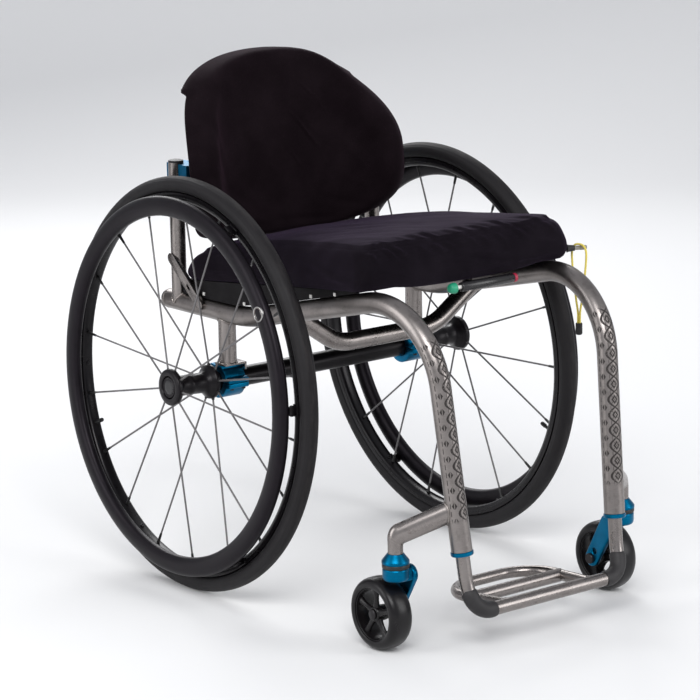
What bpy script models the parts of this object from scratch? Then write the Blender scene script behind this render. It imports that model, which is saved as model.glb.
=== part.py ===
"""Rigid sports-style wheelchair with cambered rear wheels, at real size.

Metres, +Z up. The chair faces -Y, so its left side is at +X. Lengths below are measured
from the rear axle line (y = 0) and the floor (z = 0). One empty then moves the whole chair
so that the origin lies on the floor, under the middle of its outer box.
"""

import math

import bmesh
import bpy
from mathutils import Matrix, Vector

TAU = 2 * math.pi
GAP = 0.0003  # running gap between pieces that touch

# Rear wheels: a 24 inch rim with a narrow tyre, leaning in at the top
TYRE_RADIUS = 0.295
TYRE_SECTION = 0.0125
TYRE_SEAT_ANGLE = math.radians(138)
WHEEL_STEPS = 40
CAMBER = math.radians(2.0)
WHEEL_STAND_OFF = 0.0461  # from the end of the camber tube to the middle of the tyre, at the hub
RIM_HALF_WIDTH = 0.0105
RIM_BED_HALF = 0.0085
RIM_WALL_DEPTH = 0.0107  # from the tyre seat to the shoulder
RIM_BED_STEP = 0.0025
HANDRIM_DROP = 0.0395  # the handrim ring, inside the tyre's tread
HANDRIM_OFFSET = 0.028
HANDRIM_HALF_DEPTH = 0.0158
HANDRIM_HALF_WIDTH = 0.0085
HANDRIM_SIDES = 6
HANDRIM_TABS = 6
HANDRIM_TAB_PHASE = math.radians(3)
HANDRIM_TAB_WIDTH = 0.012
SPOKES = 18
SPOKE_RADIUS = 0.0014
RIGHT_SPOKE_PHASE = math.radians(12.8)
LEFT_SPOKE_PHASE = math.radians(20.6)
SPOKE_HUB_RADIUS = 0.0200
OUTER_SPOKE_OFFSET = 0.0290
INNER_SPOKE_OFFSET = 0.0365
HUB_CAP_OFFSET = 0.0345
HUB_CAP_RADIUS = 0.0260
HUB_CAP_THICKNESS = 0.0085
HUB_RECESS_RADIUS = 0.0160
HUB_RECESS_DEPTH = 0.0110
HUB_BARREL_RADIUS = 0.0145
HUB_FLANGE_RADIUS = 0.0245
HUB_FLANGE_THICKNESS = 0.0065
HUB_INNER_END = 0.0410
HUB_STEPS = 16

# Quick-release axle and its button
AXLE_RADIUS = 0.00635
AXLE_REACH = 0.072
AXLE_FLANGE_RADIUS = 0.0098
AXLE_FLANGE_THICKNESS = 0.0020
BUTTON_RADIUS = 0.0148
BUTTON_THICKNESS = 0.0034
BUTTON_STEM_RADIUS = 0.0032
BUTTON_STEM_LENGTH = 0.0150
BUTTON_TRAVEL = 0.0040
BUTTON_SUNK = 0.0008

# Camber tube, its plugs and clamps
CAMBER_TUBE_RADIUS = 0.0143
CAMBER_TUBE_WALL = 0.0030
CAMBER_TUBE_HALF = 0.186
PLUG_FLANGE = 0.0032
PLUG_DEPTH = 0.036
CLAMP_INNER_X = 0.150
CLAMP_OUTER_X = 0.184
CLAMP_RADIUS = 0.0245
CLAMP_EAR_REACH = 0.0320
CLAMP_EAR_HEIGHT = 0.0070
CLAMP_SPLIT = 0.0008
CLAMP_TOP_WIDTH = 0.0290
SPIGOT_LENGTH = 0.0140

# Frame tubes
TUBE_RADIUS = 0.0143
TUBE_WALL = 0.0020
TUBE_SIDES = 14
SEAT_REAR_X = 0.1740
SEAT_REAR_Y = 0.1230
SEAT_REAR_Z = 0.3925
SEAT_BEND_X = 0.1705
SEAT_BEND_Y = -0.0626
SEAT_BEND_RADIUS = 0.25
FRONT_BEND_X = 0.1535
FRONT_BEND_Y = -0.4405
FRONT_BEND_Z = 0.4805
FRONT_BEND_RADIUS = 0.112
LEG_END_X = 0.1365
LEG_END_Y = -0.4833
LEG_END_Z = 0.1423
CROSS_RADIUS = 0.0127
CROSS_WALL = 0.0016
CROSS_Y = -0.157
CROSS_BEND_X = 0.0867
CROSS_BOTTOM_Z = 0.3590
CROSS_BEND_RADIUS = 0.075
RISER_RADIUS = 0.0127
RISER_WALL = 0.0016
RISER_X = 0.170
RISER_Y = -0.010
FOOT_PLATE_THICKNESS = 0.0030
FOOT_PLATE_LIP = 0.0085
FOOT_PLATE_HALF_DEPTH = 0.0130
POST_RADIUS = 0.0110
POST_WALL = 0.0016
POST_X = 0.1770
POST_Y = 0.0960
POST_TOP = 0.5950
POST_CAP_THICKNESS = 0.0030
POST_CAP_PLUG = 0.0100
GUSSET_TOP_Y = 0.0970
GUSSET_TOP_Z = 0.4570
GUSSET_FOOT_Y = 0.0300
GUSSET_FOOT_Z = 0.3985
GUSSET_WIDTH = 0.0150
GUSSET_INNER_X = 0.1835
GUSSET_OUTER_X = 0.1905
GUSSET_SLOT_WIDTH = 0.0035
GUSSET_SLOT_LENGTH = 0.0090
GUSSET_SLOT_PLACE = 0.62

# Front legs, collars and footrest
COLLAR_HEIGHT = 0.0060
COLLAR_RADIUS = 0.0153
COLLAR_SLEEVE_LENGTH = 0.0200
FOOT_TUBE_RADIUS = 0.0095
FOOT_TUBE_SIDES = 10
FOOT_TUBE_SIDE_PLAY = 0.0019  # the legs splay, so the slide needs side room in the collar
FOOT_LEG_INSERT = 0.100
FOOT_BAR_Y = -0.5038
FOOT_BAR_Z = 0.0600
FOOT_CORNER_X = 0.1290
FOOT_BEND_RADIUS = 0.028
FOOT_KNEE_Z = 0.0960
FOOT_KNEE_RADIUS = 0.10
SLEEVE_WALL = 0.0014
SLEEVE_TOP_Z = 0.0865
SLEEVE_END_X = 0.0985
LOOP_RADIUS = 0.0079
LOOP_FRONT_X = 0.0745
LOOP_REAR_X = 0.0831
LOOP_REAR_Y = -0.3680
LOOP_BEND_RADIUS = 0.055
LOOP_DROP = 0.0108  # the loop leans down a little towards its rear bar
MIDDLE_BAR_Y = -0.4370
MIDDLE_BAR_RADIUS = 0.0092

# Caster arms and casters
CASTER_X = 0.2024
SWIVEL_Y = -0.4260
ARM_ROOT_Z = 0.1980
ARM_CORNER_Z = 0.1630
ARM_HALF_HEIGHT = 0.0143
ARM_HALF_WIDTH = 0.0100
ARM_BEND_INSIDE = 0.0030  # the radius on the inside of the bend
ARM_BEND_STEPS = 4
NECK_RADIUS = 0.01025
NECK_END_Z = 0.1390
HOUSING_TOP_RADIUS = 0.0118
HOUSING_BASE_RADIUS = 0.0186
HOUSING_HEIGHT = 0.0137
HOUSING_RIM_HEIGHT = 0.0045
SEAL_RADIUS = 0.0183
SEAL_HEIGHT = 0.0058
CROWN_RADIUS = 0.0178
CROWN_HEIGHT = 0.0165
STEM_RADIUS = 0.0060
CASTER_RADIUS = 0.0495
CASTER_HALF_WIDTH = 0.0178
CASTER_TRAIL = 0.0317
CASTER_RIM_RADIUS = 0.0360
CASTER_RIM_HALF = 0.0150
CASTER_STEPS = 20
CASTER_SPOKES = 5
FORK_GAP = 0.0022
FORK_THICKNESS = 0.0080
FORK_TOP_RADIUS = 0.0135
FORK_END_RADIUS = 0.0120
FORK_BEND_Z = 0.1060
AXLE_HOLE_PITCH = 0.0130
CASTER_AXLE_RADIUS = 0.0040
CASTER_NUT_RADIUS = 0.0075
CASTER_NUT_THICKNESS = 0.0045

# Backrest: a curved shell and its thick pad
BACK_REAR_Y = 0.1370  # rear face of the shell on the centre line, at BACK_LEVEL
BACK_LEVEL = 0.700
BACK_RECLINE = 0.12
BACK_WRAP = 0.0850
BACK_HALF_WIDTH = 0.1910
BACK_MIDDLE_Z = 0.5850
BACK_TOP = 0.1510
BACK_BOTTOM = 0.1150
BACK_BOTTOM_LIFT = 0.0040  # the lower edge rises a little in the middle
BACK_TOP_ROUND = 2.2
BACK_BOTTOM_ROUND = 3.6
HOOD_BASE_Z = 0.6500
HOOD_TOP_Z = 0.6640
HOOD_SWELL = 0.0300
SHELL_THICKNESS = 0.0030
PAD_THICKNESS = 0.0440
PAD_CROWN = 0.0060
PAD_BULGE = 1.015
BACK_SIDES = 28
BRACKET_LOW = 0.5200
BRACKET_HIGH = 0.5930
BRACKET_INNER_X = 0.1500
BRACKET_OUTER_X = 0.1805
BRACKET_REAR = 0.0180

# Seat pan and cushion
PAN_REAR_Y = 0.0800
PAN_FRONT_Y = -0.3050
PAN_HALF_WIDTH_EXTRA = 0.0085
PAN_RAIL_WIDTH = 0.0280
PAN_SHEET = 0.0026
SEAT_REAR_TOP = 0.4275
SEAT_SLOPE = 0.1049
CUSHION_HALF_WIDTH = 0.1870
CUSHION_REAR_Y = 0.0850
CUSHION_FRONT_Y = -0.3440
CUSHION_REAR_THICKNESS = 0.0340
CUSHION_FRONT_THICKNESS = 0.0600
CUSHION_TAPER_Y = -0.1900  # behind this the cushion thins towards its rear edge
CUSHION_CROWN = 0.0110
CUSHION_DRAW_IN = 0.0050
CUSHION_REAR_CORNER = 0.0350
CUSHION_FRONT_CORNER = 0.0200
CUSHION_FRONT_SAG = 0.0075
CUSHION_EDGE = 0.0045  # how far the lower edge is drawn in
CUSHION_LIP = 0.0330  # the depth of its front edge, which sags

# Valves on the cushion, and the cord that hangs from one
SLIDE_VALVE_X = -0.0172
SLIDE_VALVE_LENGTH = 0.0930
SLIDE_VALVE_RADIUS = 0.0067
SLIDE_VALVE_Y = -0.3425
SLIDE_VALVE_GAP = 0.0014
SLIDE_ROD_RADIUS = 0.0028
SLIDE_KNOB_RADIUS = 0.0076
SLIDE_KNOB_LENGTH = 0.0120
SLIDE_TRAVEL = 0.0080
AIR_VALVE_Z = 0.4830
AIR_VALVE_TURN = math.radians(-25)
AIR_VALVE_BASE_RADIUS = 0.0056
AIR_VALVE_BASE_LENGTH = 0.0110
AIR_VALVE_SUNK = 0.0006  # the corner is slightly flattened where the valve meets it
AIR_VALVE_STEM_RADIUS = 0.0033
AIR_VALVE_STEM_LENGTH = 0.0180
CORD_RADIUS = 0.0015
CORD_LOOP_TURN = math.radians(-75)
CORD_LOOP_HALF = 0.0118
CORD_STRAND = 0.0018  # from the middle of the toggle to each strand
CORD_END = -0.1260  # the strands' ends, from the top of the loop
TOGGLE_RADIUS = 0.0049
TOGGLE_LENGTH = 0.0170
TOGGLE_FLOOR = 0.0030

# Worked out from the sizes above
TRACK_HALF = CAMBER_TUBE_HALF + WHEEL_STAND_OFF
HUB_Z = (TYRE_RADIUS - TYRE_SECTION) * math.cos(CAMBER) + TYRE_SECTION
TYRE_SEAT_RADIUS = TYRE_RADIUS - TYRE_SECTION * (1 - math.cos(TYRE_SEAT_ANGLE))
RIM_SHOULDER_RADIUS = TYRE_SEAT_RADIUS - RIM_WALL_DEPTH
RIM_INNER_RADIUS = RIM_SHOULDER_RADIUS - RIM_BED_STEP
HANDRIM_RADIUS = TYRE_RADIUS - HANDRIM_DROP
PLUG_MIDDLE_X = CAMBER_TUBE_HALF - PLUG_DEPTH / 2
CAMBER_TUBE_Z = HUB_Z - math.tan(CAMBER) * (TRACK_HALF - PLUG_MIDDLE_X)
SLEEVE_RADIUS = (FOOT_TUBE_RADIUS + GAP) / math.cos(math.pi / FOOT_TUBE_SIDES) + SLEEVE_WALL
CASTER_AXLE_Y = SWIVEL_Y + CASTER_TRAIL
LEG_AXIS = Vector((FRONT_BEND_X - LEG_END_X, FRONT_BEND_Y - LEG_END_Y, FRONT_BEND_Z - LEG_END_Z))
MIDDLE_Y = (TYRE_RADIUS + FOOT_BAR_Y - SLEEVE_RADIUS) / 2


def clear_scene():
    for old in list(bpy.data.objects):
        bpy.data.objects.remove(old)


def finish(name, colour, roughness, metallic=0.0):
    """A plain material of one colour."""
    made = bpy.data.materials.get(name)
    if made is None:
        made = bpy.data.materials.new(name)
        made.use_nodes = True
        shader = made.node_tree.nodes["Principled BSDF"]
        shader.inputs["Base Color"].default_value = (*colour, 1)
        shader.inputs["Roughness"].default_value = roughness
        shader.inputs["Metallic"].default_value = metallic
        made.diffuse_color = (*colour, 1)
    return made


def titanium():
    return finish("brushed_titanium", (0.46, 0.43, 0.41), 0.38, 1.0)


def blue_anodised():
    return finish("blue_anodised", (0.005, 0.13, 0.30), 0.35, 0.8)


def black_aluminium():
    return finish("black_aluminium", (0.020, 0.020, 0.022), 0.40, 0.6)


def black_plastic():
    return finish("black_plastic", (0.015, 0.015, 0.016), 0.50)


def rubber():
    return finish("black_rubber", (0.018, 0.018, 0.019), 0.75)


def cloth():
    return finish("black_cloth", (0.010, 0.008, 0.012), 0.92)


def steel():
    return finish("polished_steel", (0.55, 0.55, 0.56), 0.25, 1.0)


def tidied(bm):
    """Merges doubled points, makes the faces point out and returns the mesh."""
    bmesh.ops.remove_doubles(bm, verts=bm.verts, dist=1e-6)
    bmesh.ops.recalc_face_normals(bm, faces=bm.faces)
    mesh = bpy.data.meshes.new("shape")
    bm.to_mesh(mesh)
    bm.free()
    return mesh


def added(name, mesh, material=None, parent=None, place=None):
    """An object for a mesh; without a material it is a helper that only cuts or joins."""
    made = bpy.data.objects.new(name, mesh)
    bpy.context.scene.collection.objects.link(made)
    made.parent = parent
    if place is not None:
        made.matrix_local = place
    if material is None:
        made.hide_render = True
        made.display_type = "WIRE"
    else:
        mesh.materials.clear()
        mesh.materials.append(material)
        mesh.shade_smooth()
        mesh.set_sharp_from_angle(angle=math.radians(35))
    return made


def changed(target, helper, operation):
    """Cuts the helper out of the target, or joins it on."""
    modifier = target.modifiers.new(operation.lower(), "BOOLEAN")
    modifier.operation = operation
    modifier.object = helper
    return target


def cut(target, *helpers):
    for helper in helpers:
        changed(target, helper, "DIFFERENCE")


def joined(target, *helpers):
    for helper in helpers:
        changed(target, helper, "UNION")


def around(radius, steps, gap=GAP):
    """The corner radius of a faceted hole whose flats clear a round piece by the gap."""
    return (radius + gap) / math.cos(math.pi / steps)


def turned(profile, steps, axis="X"):
    """A solid turned from (along, radius) points. A profile off the axis closes on itself."""
    bm = bmesh.new()
    corners = []
    for along, radius in profile:
        place = (along, 0, radius) if axis == "X" else (radius, 0, along)
        corners.append(bm.verts.new(place))
    edges = [bm.edges.new(pair) for pair in zip(corners, corners[1:])]
    if profile[0][1] > 0:
        edges.append(bm.edges.new((corners[-1], corners[0])))
    turn = (1, 0, 0) if axis == "X" else (0, 0, 1)
    bmesh.ops.spin(
        bm, geom=corners + edges, cent=(0, 0, 0), axis=turn, angle=TAU, steps=steps, use_merge=True
    )
    return tidied(bm)


def rod(radius, start, end, steps=16):
    """A plain round bar from one point to another."""
    start = Vector(start)
    along = Vector(end) - start
    mesh = turned([(0, 0), (0, radius), (along.length, radius), (along.length, 0)], steps)
    turn = along.to_track_quat("X", "Z").to_matrix().to_4x4()
    mesh.transform(Matrix.Translation(start) @ turn)
    return mesh


def box(low, high):
    bm = bmesh.new()
    bmesh.ops.create_cube(bm, size=1)
    middle = (Vector(low) + Vector(high)) / 2
    size = Vector(high) - Vector(low)
    size = Vector(abs(value) for value in size)
    bmesh.ops.transform(bm, matrix=Matrix.Translation(middle) @ Matrix.Diagonal((*size, 1)), verts=bm.verts)
    return tidied(bm)


def plate(outline, low, high):
    """A flat outline of (y, z) points, thick along X from low to high."""
    bm = bmesh.new()
    face = bm.faces.new([bm.verts.new((low, y, z)) for y, z in outline])
    grown = bmesh.ops.extrude_face_region(bm, geom=[face])["geom"]
    moved = [item for item in grown if isinstance(item, bmesh.types.BMVert)]
    bmesh.ops.translate(bm, verts=moved, vec=(high - low, 0, 0))
    return tidied(bm)


def skinned(rings):
    """A closed skin over rings of points with equal counts; the two end rings are filled."""
    bm = bmesh.new()
    loops = [[bm.verts.new(point) for point in ring] for ring in rings]
    for lower, upper in zip(loops, loops[1:]):
        count = len(lower)
        for i in range(count):
            j = (i + 1) % count
            bm.faces.new((lower[i], lower[j], upper[j], upper[i]))
    bm.faces.new(loops[0])
    bm.faces.new(loops[-1])
    return tidied(bm)


def arc(centre, radius, start, end, steps):
    """Points (a, b) on an arc in a plane."""
    points = []
    for i in range(steps + 1):
        angle = start + (end - start) * i / steps
        points.append((centre[0] + radius * math.cos(angle), centre[1] + radius * math.sin(angle)))
    return points


def rounded_path(corners, radii, step=math.radians(11)):
    """A path through corners, each rounded by an arc of its radius."""
    corners = [Vector(corner) for corner in corners]
    path = [corners[0]]
    for i, radius in enumerate(radii, start=1):
        here = corners[i]
        back = (corners[i - 1] - here).normalized()
        ahead = (corners[i + 1] - here).normalized()
        inside = back.angle(ahead)
        turn = math.pi - inside
        middle = here + (back + ahead).normalized() * radius / math.sin(inside / 2)
        first = here + back * radius / math.tan(inside / 2) - middle
        normal = first.cross(here + ahead * radius / math.tan(inside / 2) - middle).normalized()
        count = max(2, math.ceil(turn / step))
        for k in range(count + 1):
            spun = first.copy()
            spun.rotate(Matrix.Rotation(turn * k / count, 3, normal))
            path.append(middle + spun)
    path.append(corners[-1])
    return path


def tube(path, radius, sides=TUBE_SIDES, shares=None):
    """A solid round bar along a path, from a curve with filled ends."""
    curve = bpy.data.curves.new("route", "CURVE")
    curve.dimensions = "3D"
    curve.bevel_depth = radius
    curve.bevel_resolution = (sides - 4) // 2
    curve.use_fill_caps = True
    spline = curve.splines.new("POLY")
    spline.points.add(len(path) - 1)
    for i, place in enumerate(path):
        spline.points[i].co = (*place, 1)
        spline.points[i].radius = shares[i] if shares else 1.0
    holder = bpy.data.objects.new("route", curve)
    bpy.context.scene.collection.objects.link(holder)
    graph = bpy.context.evaluated_depsgraph_get()
    mesh = bpy.data.meshes.new_from_object(holder.evaluated_get(graph))
    bpy.data.objects.remove(holder)
    bm = bmesh.new()
    bm.from_mesh(mesh)
    return tidied(bm)


def pipe(path, outer, inner, sides):
    """A hollow tube along a path, open at both ends."""
    ways = [(ahead - back).normalized() for back, ahead in zip(path, path[1:])]
    spoke = ways[0].orthogonal().normalized()
    turns = [TAU * k / sides for k in range(sides)]
    star = [Matrix.Rotation(turn, 3, ways[0]) @ spoke for turn in turns]
    bm = bmesh.new()
    loops = []
    for i, place in enumerate(path):
        before = ways[max(i - 1, 0)]
        after = ways[min(i, len(ways) - 1)]
        plane = (before + after).normalized()
        for radius in (outer, inner):
            ring = [ray * radius - before * (ray * radius).dot(plane) / before.dot(plane) for ray in star]
            loops.append([bm.verts.new(place + point) for point in ring])
        swing = before.rotation_difference(after)
        star = [swing @ ray for ray in star]
    order = loops[0::2] + loops[::-1][0::2]
    for here, there in zip(order, order[1:] + order[:1]):
        for i in range(sides):
            j = (i + 1) % sides
            bm.faces.new((here[i], here[j], there[j], there[i]))
    return tidied(bm)


def extended(path, start, end):
    """The path made longer at its ends."""
    first = path[0] + (path[0] - path[1]).normalized() * start
    last = path[-1] + (path[-1] - path[-2]).normalized() * end
    return [first] + list(path) + [last]


def shifted_z(height):
    return Matrix.Translation((0, 0, height))


def wheel_frame(side):
    """The wheel's own frame: X points outboard along the axle, Z up in the wheel's plane."""
    out = Vector((side * math.cos(CAMBER), 0, math.sin(CAMBER)))
    up = Vector((-side * math.sin(CAMBER), 0, math.cos(CAMBER)))
    across = up.cross(out)
    turn = Matrix((out, across, up)).transposed().to_4x4()
    return Matrix.Translation((side * TRACK_HALF, 0, HUB_Z)) @ turn


def tyre_mesh():
    count = 7
    middle = TYRE_RADIUS - TYRE_SECTION
    profile = []
    for i in range(count):
        angle = -TYRE_SEAT_ANGLE + 2 * TYRE_SEAT_ANGLE * i / (count - 1)
        profile.append((TYRE_SECTION * math.sin(angle), middle + TYRE_SECTION * math.cos(angle)))
    return turned(profile, WHEEL_STEPS)


def rim_mesh():
    seat = TYRE_SEAT_RADIUS - GAP
    profile = [
        (RIM_HALF_WIDTH, seat),
        (RIM_HALF_WIDTH, RIM_SHOULDER_RADIUS),
        (RIM_BED_HALF, RIM_INNER_RADIUS),
        (-RIM_BED_HALF, RIM_INNER_RADIUS),
        (-RIM_HALF_WIDTH, RIM_SHOULDER_RADIUS),
        (-RIM_HALF_WIDTH, seat),
    ]
    return turned(profile, WHEEL_STEPS)


def handrim_mesh():
    profile = []
    for i in range(HANDRIM_SIDES):
        angle = TAU * i / HANDRIM_SIDES
        profile.append(
            (
                HANDRIM_OFFSET + HANDRIM_HALF_WIDTH * math.cos(angle),
                HANDRIM_RADIUS + HANDRIM_HALF_DEPTH * math.sin(angle),
            )
        )
    return turned(profile, WHEEL_STEPS)


def handrim_tabs_mesh():
    """Flat tabs that reach from the handrim to the side of the rim."""
    bm = bmesh.new()
    low = RIM_SHOULDER_RADIUS + RIM_WALL_DEPTH * 0.08
    high = RIM_SHOULDER_RADIUS + RIM_WALL_DEPTH * 0.82
    tab = box(
        (RIM_HALF_WIDTH + GAP, -HANDRIM_TAB_WIDTH / 2, low),
        (HANDRIM_OFFSET - HANDRIM_HALF_WIDTH * 0.2, HANDRIM_TAB_WIDTH / 2, high),
    )
    for i in range(HANDRIM_TABS):
        turn = Matrix.Rotation(HANDRIM_TAB_PHASE - TAU / 4 + TAU * i / HANDRIM_TABS, 4, "X")
        copy = tab.copy()
        copy.transform(turn)
        bm.from_mesh(copy)
    return tidied(bm)


def hub_mesh():
    """A turned hub: recessed cap, waisted barrel and inner flange on a bore."""
    bore = around(AXLE_RADIUS, HUB_STEPS)
    cap_back = HUB_CAP_OFFSET - HUB_CAP_THICKNESS
    floor = HUB_CAP_OFFSET - HUB_RECESS_DEPTH
    flange_front = -HUB_INNER_END + HUB_FLANGE_THICKNESS + 0.001
    profile = [
        (floor, bore),
        (floor, HUB_RECESS_RADIUS - 0.0004),
        (HUB_CAP_OFFSET, HUB_RECESS_RADIUS),
        (HUB_CAP_OFFSET - 0.0006, HUB_CAP_RADIUS - 0.0022),
        (HUB_CAP_OFFSET - 0.0026, HUB_CAP_RADIUS),
        (cap_back, HUB_CAP_RADIUS - 0.0006),
        (cap_back - 0.0080, HUB_BARREL_RADIUS),
        (flange_front + 0.0100, HUB_BARREL_RADIUS),
        (flange_front, HUB_FLANGE_RADIUS - 0.0008),
        (flange_front - 0.0030, HUB_FLANGE_RADIUS),
        (-HUB_INNER_END + 0.0012, HUB_FLANGE_RADIUS - 0.0020),
        (-HUB_INNER_END, HUB_BARREL_RADIUS - 0.0020),
        (-HUB_INNER_END, bore),
    ]
    return turned(profile, HUB_STEPS)


def spokes_mesh(phase):
    """Straight spokes, in turn from the cap and from the inner flange to the rim."""
    bm = bmesh.new()
    reach = RIM_INNER_RADIUS * math.cos(math.pi / WHEEL_STEPS) - GAP - SPOKE_RADIUS * 0.2
    for i in range(SPOKES):
        offset = -INNER_SPOKE_OFFSET if i % 2 == 0 else OUTER_SPOKE_OFFSET
        angle = phase + TAU * i / SPOKES
        ray = Vector((0, math.cos(angle), math.sin(angle)))
        start = ray * SPOKE_HUB_RADIUS + Vector((offset, 0, 0))
        bm.from_mesh(rod(SPOKE_RADIUS, start, ray * reach, steps=4))
    return tidied(bm)


def axle_mesh():
    """The quick-release axle, with a flange in the hub's recess and a bore for the button."""
    floor = HUB_CAP_OFFSET - HUB_RECESS_DEPTH
    face = floor + GAP + AXLE_FLANGE_THICKNESS
    bore = around(BUTTON_STEM_RADIUS, 12)
    depth = BUTTON_STEM_LENGTH + BUTTON_TRAVEL
    profile = [
        (-AXLE_REACH, 0),
        (-AXLE_REACH, AXLE_RADIUS - 0.0012),
        (-AXLE_REACH + 0.0012, AXLE_RADIUS),
        (floor + GAP, AXLE_RADIUS),
        (floor + GAP, AXLE_FLANGE_RADIUS),
        (face, AXLE_FLANGE_RADIUS),
        (face, bore),
        (face - depth, bore),
        (face - depth, 0),
    ]
    return turned(profile, 12)


def button_mesh():
    outer = HUB_CAP_OFFSET - BUTTON_SUNK
    under = outer - BUTTON_THICKNESS
    tip = HUB_CAP_OFFSET - HUB_RECESS_DEPTH + GAP + AXLE_FLANGE_THICKNESS - BUTTON_STEM_LENGTH
    profile = [
        (tip, 0),
        (tip, BUTTON_STEM_RADIUS),
        (under, BUTTON_STEM_RADIUS),
        (under, BUTTON_RADIUS),
        (outer - 0.0008, BUTTON_RADIUS),
        (outer, BUTTON_RADIUS - 0.0012),
        (outer, 0),
    ]
    return turned(profile, 12)


def rear_wheels(chair):
    tyre = tyre_mesh()
    rim = rim_mesh()
    handrim = handrim_mesh()
    tabs = handrim_tabs_mesh()
    hub = hub_mesh()
    axle = axle_mesh()
    button = button_mesh()
    for name, side, phase in (("right", -1, RIGHT_SPOKE_PHASE), ("left", 1, LEFT_SPOKE_PHASE)):
        centre = bpy.data.objects.new(f"{name}_wheel_centre", None)
        bpy.context.scene.collection.objects.link(centre)
        centre.parent = chair
        centre.matrix_local = wheel_frame(side)
        added(f"{name}_tyre", tyre, rubber(), centre)
        added(f"{name}_rim", rim, black_aluminium(), centre)
        ring = added(f"{name}_handrim", handrim.copy(), black_aluminium(), centre)
        joined(ring, added(f"{name}_handrim_tabs", tabs, parent=centre))
        body = added(f"{name}_hub_and_spokes", hub.copy(), black_aluminium(), centre)
        joined(body, added(f"{name}_spoke_set", spokes_mesh(phase), parent=centre))
        added(f"{name}_wheel_axle", axle, steel(), centre)
        added(f"{name}_release_button", button, black_plastic(), centre)


def mirrored(point, side):
    return Vector((side * point[0], point[1], point[2]))


def side_path(side, grown=0.0):
    """The seat tube and front leg of one side as one bent tube, from its rear end down."""
    corners = [
        (SEAT_REAR_X, SEAT_REAR_Y, SEAT_REAR_Z),
        (SEAT_BEND_X, SEAT_BEND_Y, SEAT_REAR_Z),
        (FRONT_BEND_X, FRONT_BEND_Y, FRONT_BEND_Z),
        (LEG_END_X, LEG_END_Y, LEG_END_Z),
    ]
    radii = (SEAT_BEND_RADIUS, FRONT_BEND_RADIUS)
    path = rounded_path([mirrored(corner, side) for corner in corners], radii, math.radians(14))
    if grown:
        path = extended(path, grown, grown)
    return path


def side_cutter(side, chair):
    """The side tube with the running gap added, to cope what is welded to it."""
    name = f"cope_{'left' if side > 0 else 'right'}"
    made = bpy.data.objects.get(name)
    if made is None:
        path = side_path(side, grown=TUBE_RADIUS)
        made = added(name, tube(path, around(TUBE_RADIUS, TUBE_SIDES)), parent=chair)
    return made


def side_tubes(chair):
    for name, side in (("right", -1), ("left", 1)):
        path = side_path(side)
        back = (path[0] - path[1]).normalized()
        dome = [
            path[0] + back * TUBE_RADIUS * math.sin(angle)
            for angle in (math.radians(80), math.radians(55), math.radians(28))
        ]
        shares = [math.cos(math.radians(angle)) for angle in (80, 55, 28)] + [1.0] * len(path)
        bar = added(f"{name}_side_tube", tube(dome + path, TUBE_RADIUS, shares=shares), titanium(), chair)
        bore = extended(path, 0, TUBE_RADIUS)
        hollow = added(f"{name}_side_bore", tube(bore, TUBE_RADIUS - TUBE_WALL, sides=8), parent=chair)
        cut(bar, hollow)


def seat_tube_point(y):
    """The right x and z of the side tube's middle line at this y, on the seat stretch."""
    path = side_path(1)
    for back, ahead in zip(path, path[1:]):
        if ahead.y <= y <= back.y:
            share = (back.y - y) / (back.y - ahead.y)
            return back.lerp(ahead, share)
    return path[0]


def seat_tube_z(y):
    return seat_tube_point(y).z


def cross_tube(chair):
    """A dropped cross tube between the seat tubes, under the seat."""
    top = seat_tube_point(CROSS_Y)
    corners = [
        (-top.x, CROSS_Y, top.z),
        (-CROSS_BEND_X, CROSS_Y, CROSS_BOTTOM_Z),
        (CROSS_BEND_X, CROSS_Y, CROSS_BOTTOM_Z),
        (top.x, CROSS_Y, top.z),
    ]
    path = rounded_path(corners, (CROSS_BEND_RADIUS, CROSS_BEND_RADIUS), math.radians(16))
    bar = added("cross_tube", tube(path, CROSS_RADIUS, sides=12), titanium(), chair)
    inside = extended(path, TUBE_RADIUS, TUBE_RADIUS)
    cut(bar, added("cross_bore", tube(inside, CROSS_RADIUS - CROSS_WALL, sides=8), parent=chair))
    cut(bar, side_cutter(-1, chair), side_cutter(1, chair))


def clamp_top():
    """The height of the flat on top of a camber clamp."""
    half = CLAMP_TOP_WIDTH / 2
    return CAMBER_TUBE_Z + math.sqrt(CLAMP_RADIUS**2 - half**2) + 0.004


def risers(chair):
    """Upright tubes from the seat tubes to the camber clamps, each on a lipped foot plate."""
    foot = clamp_top() + GAP
    for name, side in (("right", -1), ("left", 1)):
        low = (side * RISER_X, RISER_Y, foot)
        top = (side * RISER_X, RISER_Y, seat_tube_z(RISER_Y))
        bar = added(f"{name}_riser", rod(RISER_RADIUS, low, top), titanium(), chair)
        under = (RISER_Y - FOOT_PLATE_HALF_DEPTH, RISER_Y + FOOT_PLATE_HALF_DEPTH)
        inner = CLAMP_INNER_X - GAP
        flat = box(
            (side * (inner - FOOT_PLATE_THICKNESS), under[0], foot),
            (side * CLAMP_OUTER_X, under[1], foot + FOOT_PLATE_THICKNESS),
        )
        lip = box(
            (side * (inner - FOOT_PLATE_THICKNESS), under[0] + 0.0001, foot - FOOT_PLATE_LIP),
            (side * inner, under[1] - 0.0001, foot + FOOT_PLATE_THICKNESS / 2),
        )
        joined(bar, added(f"{name}_foot_plate", flat, parent=chair))
        joined(bar, added(f"{name}_foot_lip", lip, parent=chair))
        hole_foot = (low[0], low[1], foot - 0.01)
        hole_top = (top[0], top[1], top[2] + 0.03)
        hole = rod(RISER_RADIUS - RISER_WALL, hole_foot, hole_top, 12)
        cut(bar, added(f"{name}_riser_bore", hole, parent=chair))
        cut(bar, side_cutter(side, chair))


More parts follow.
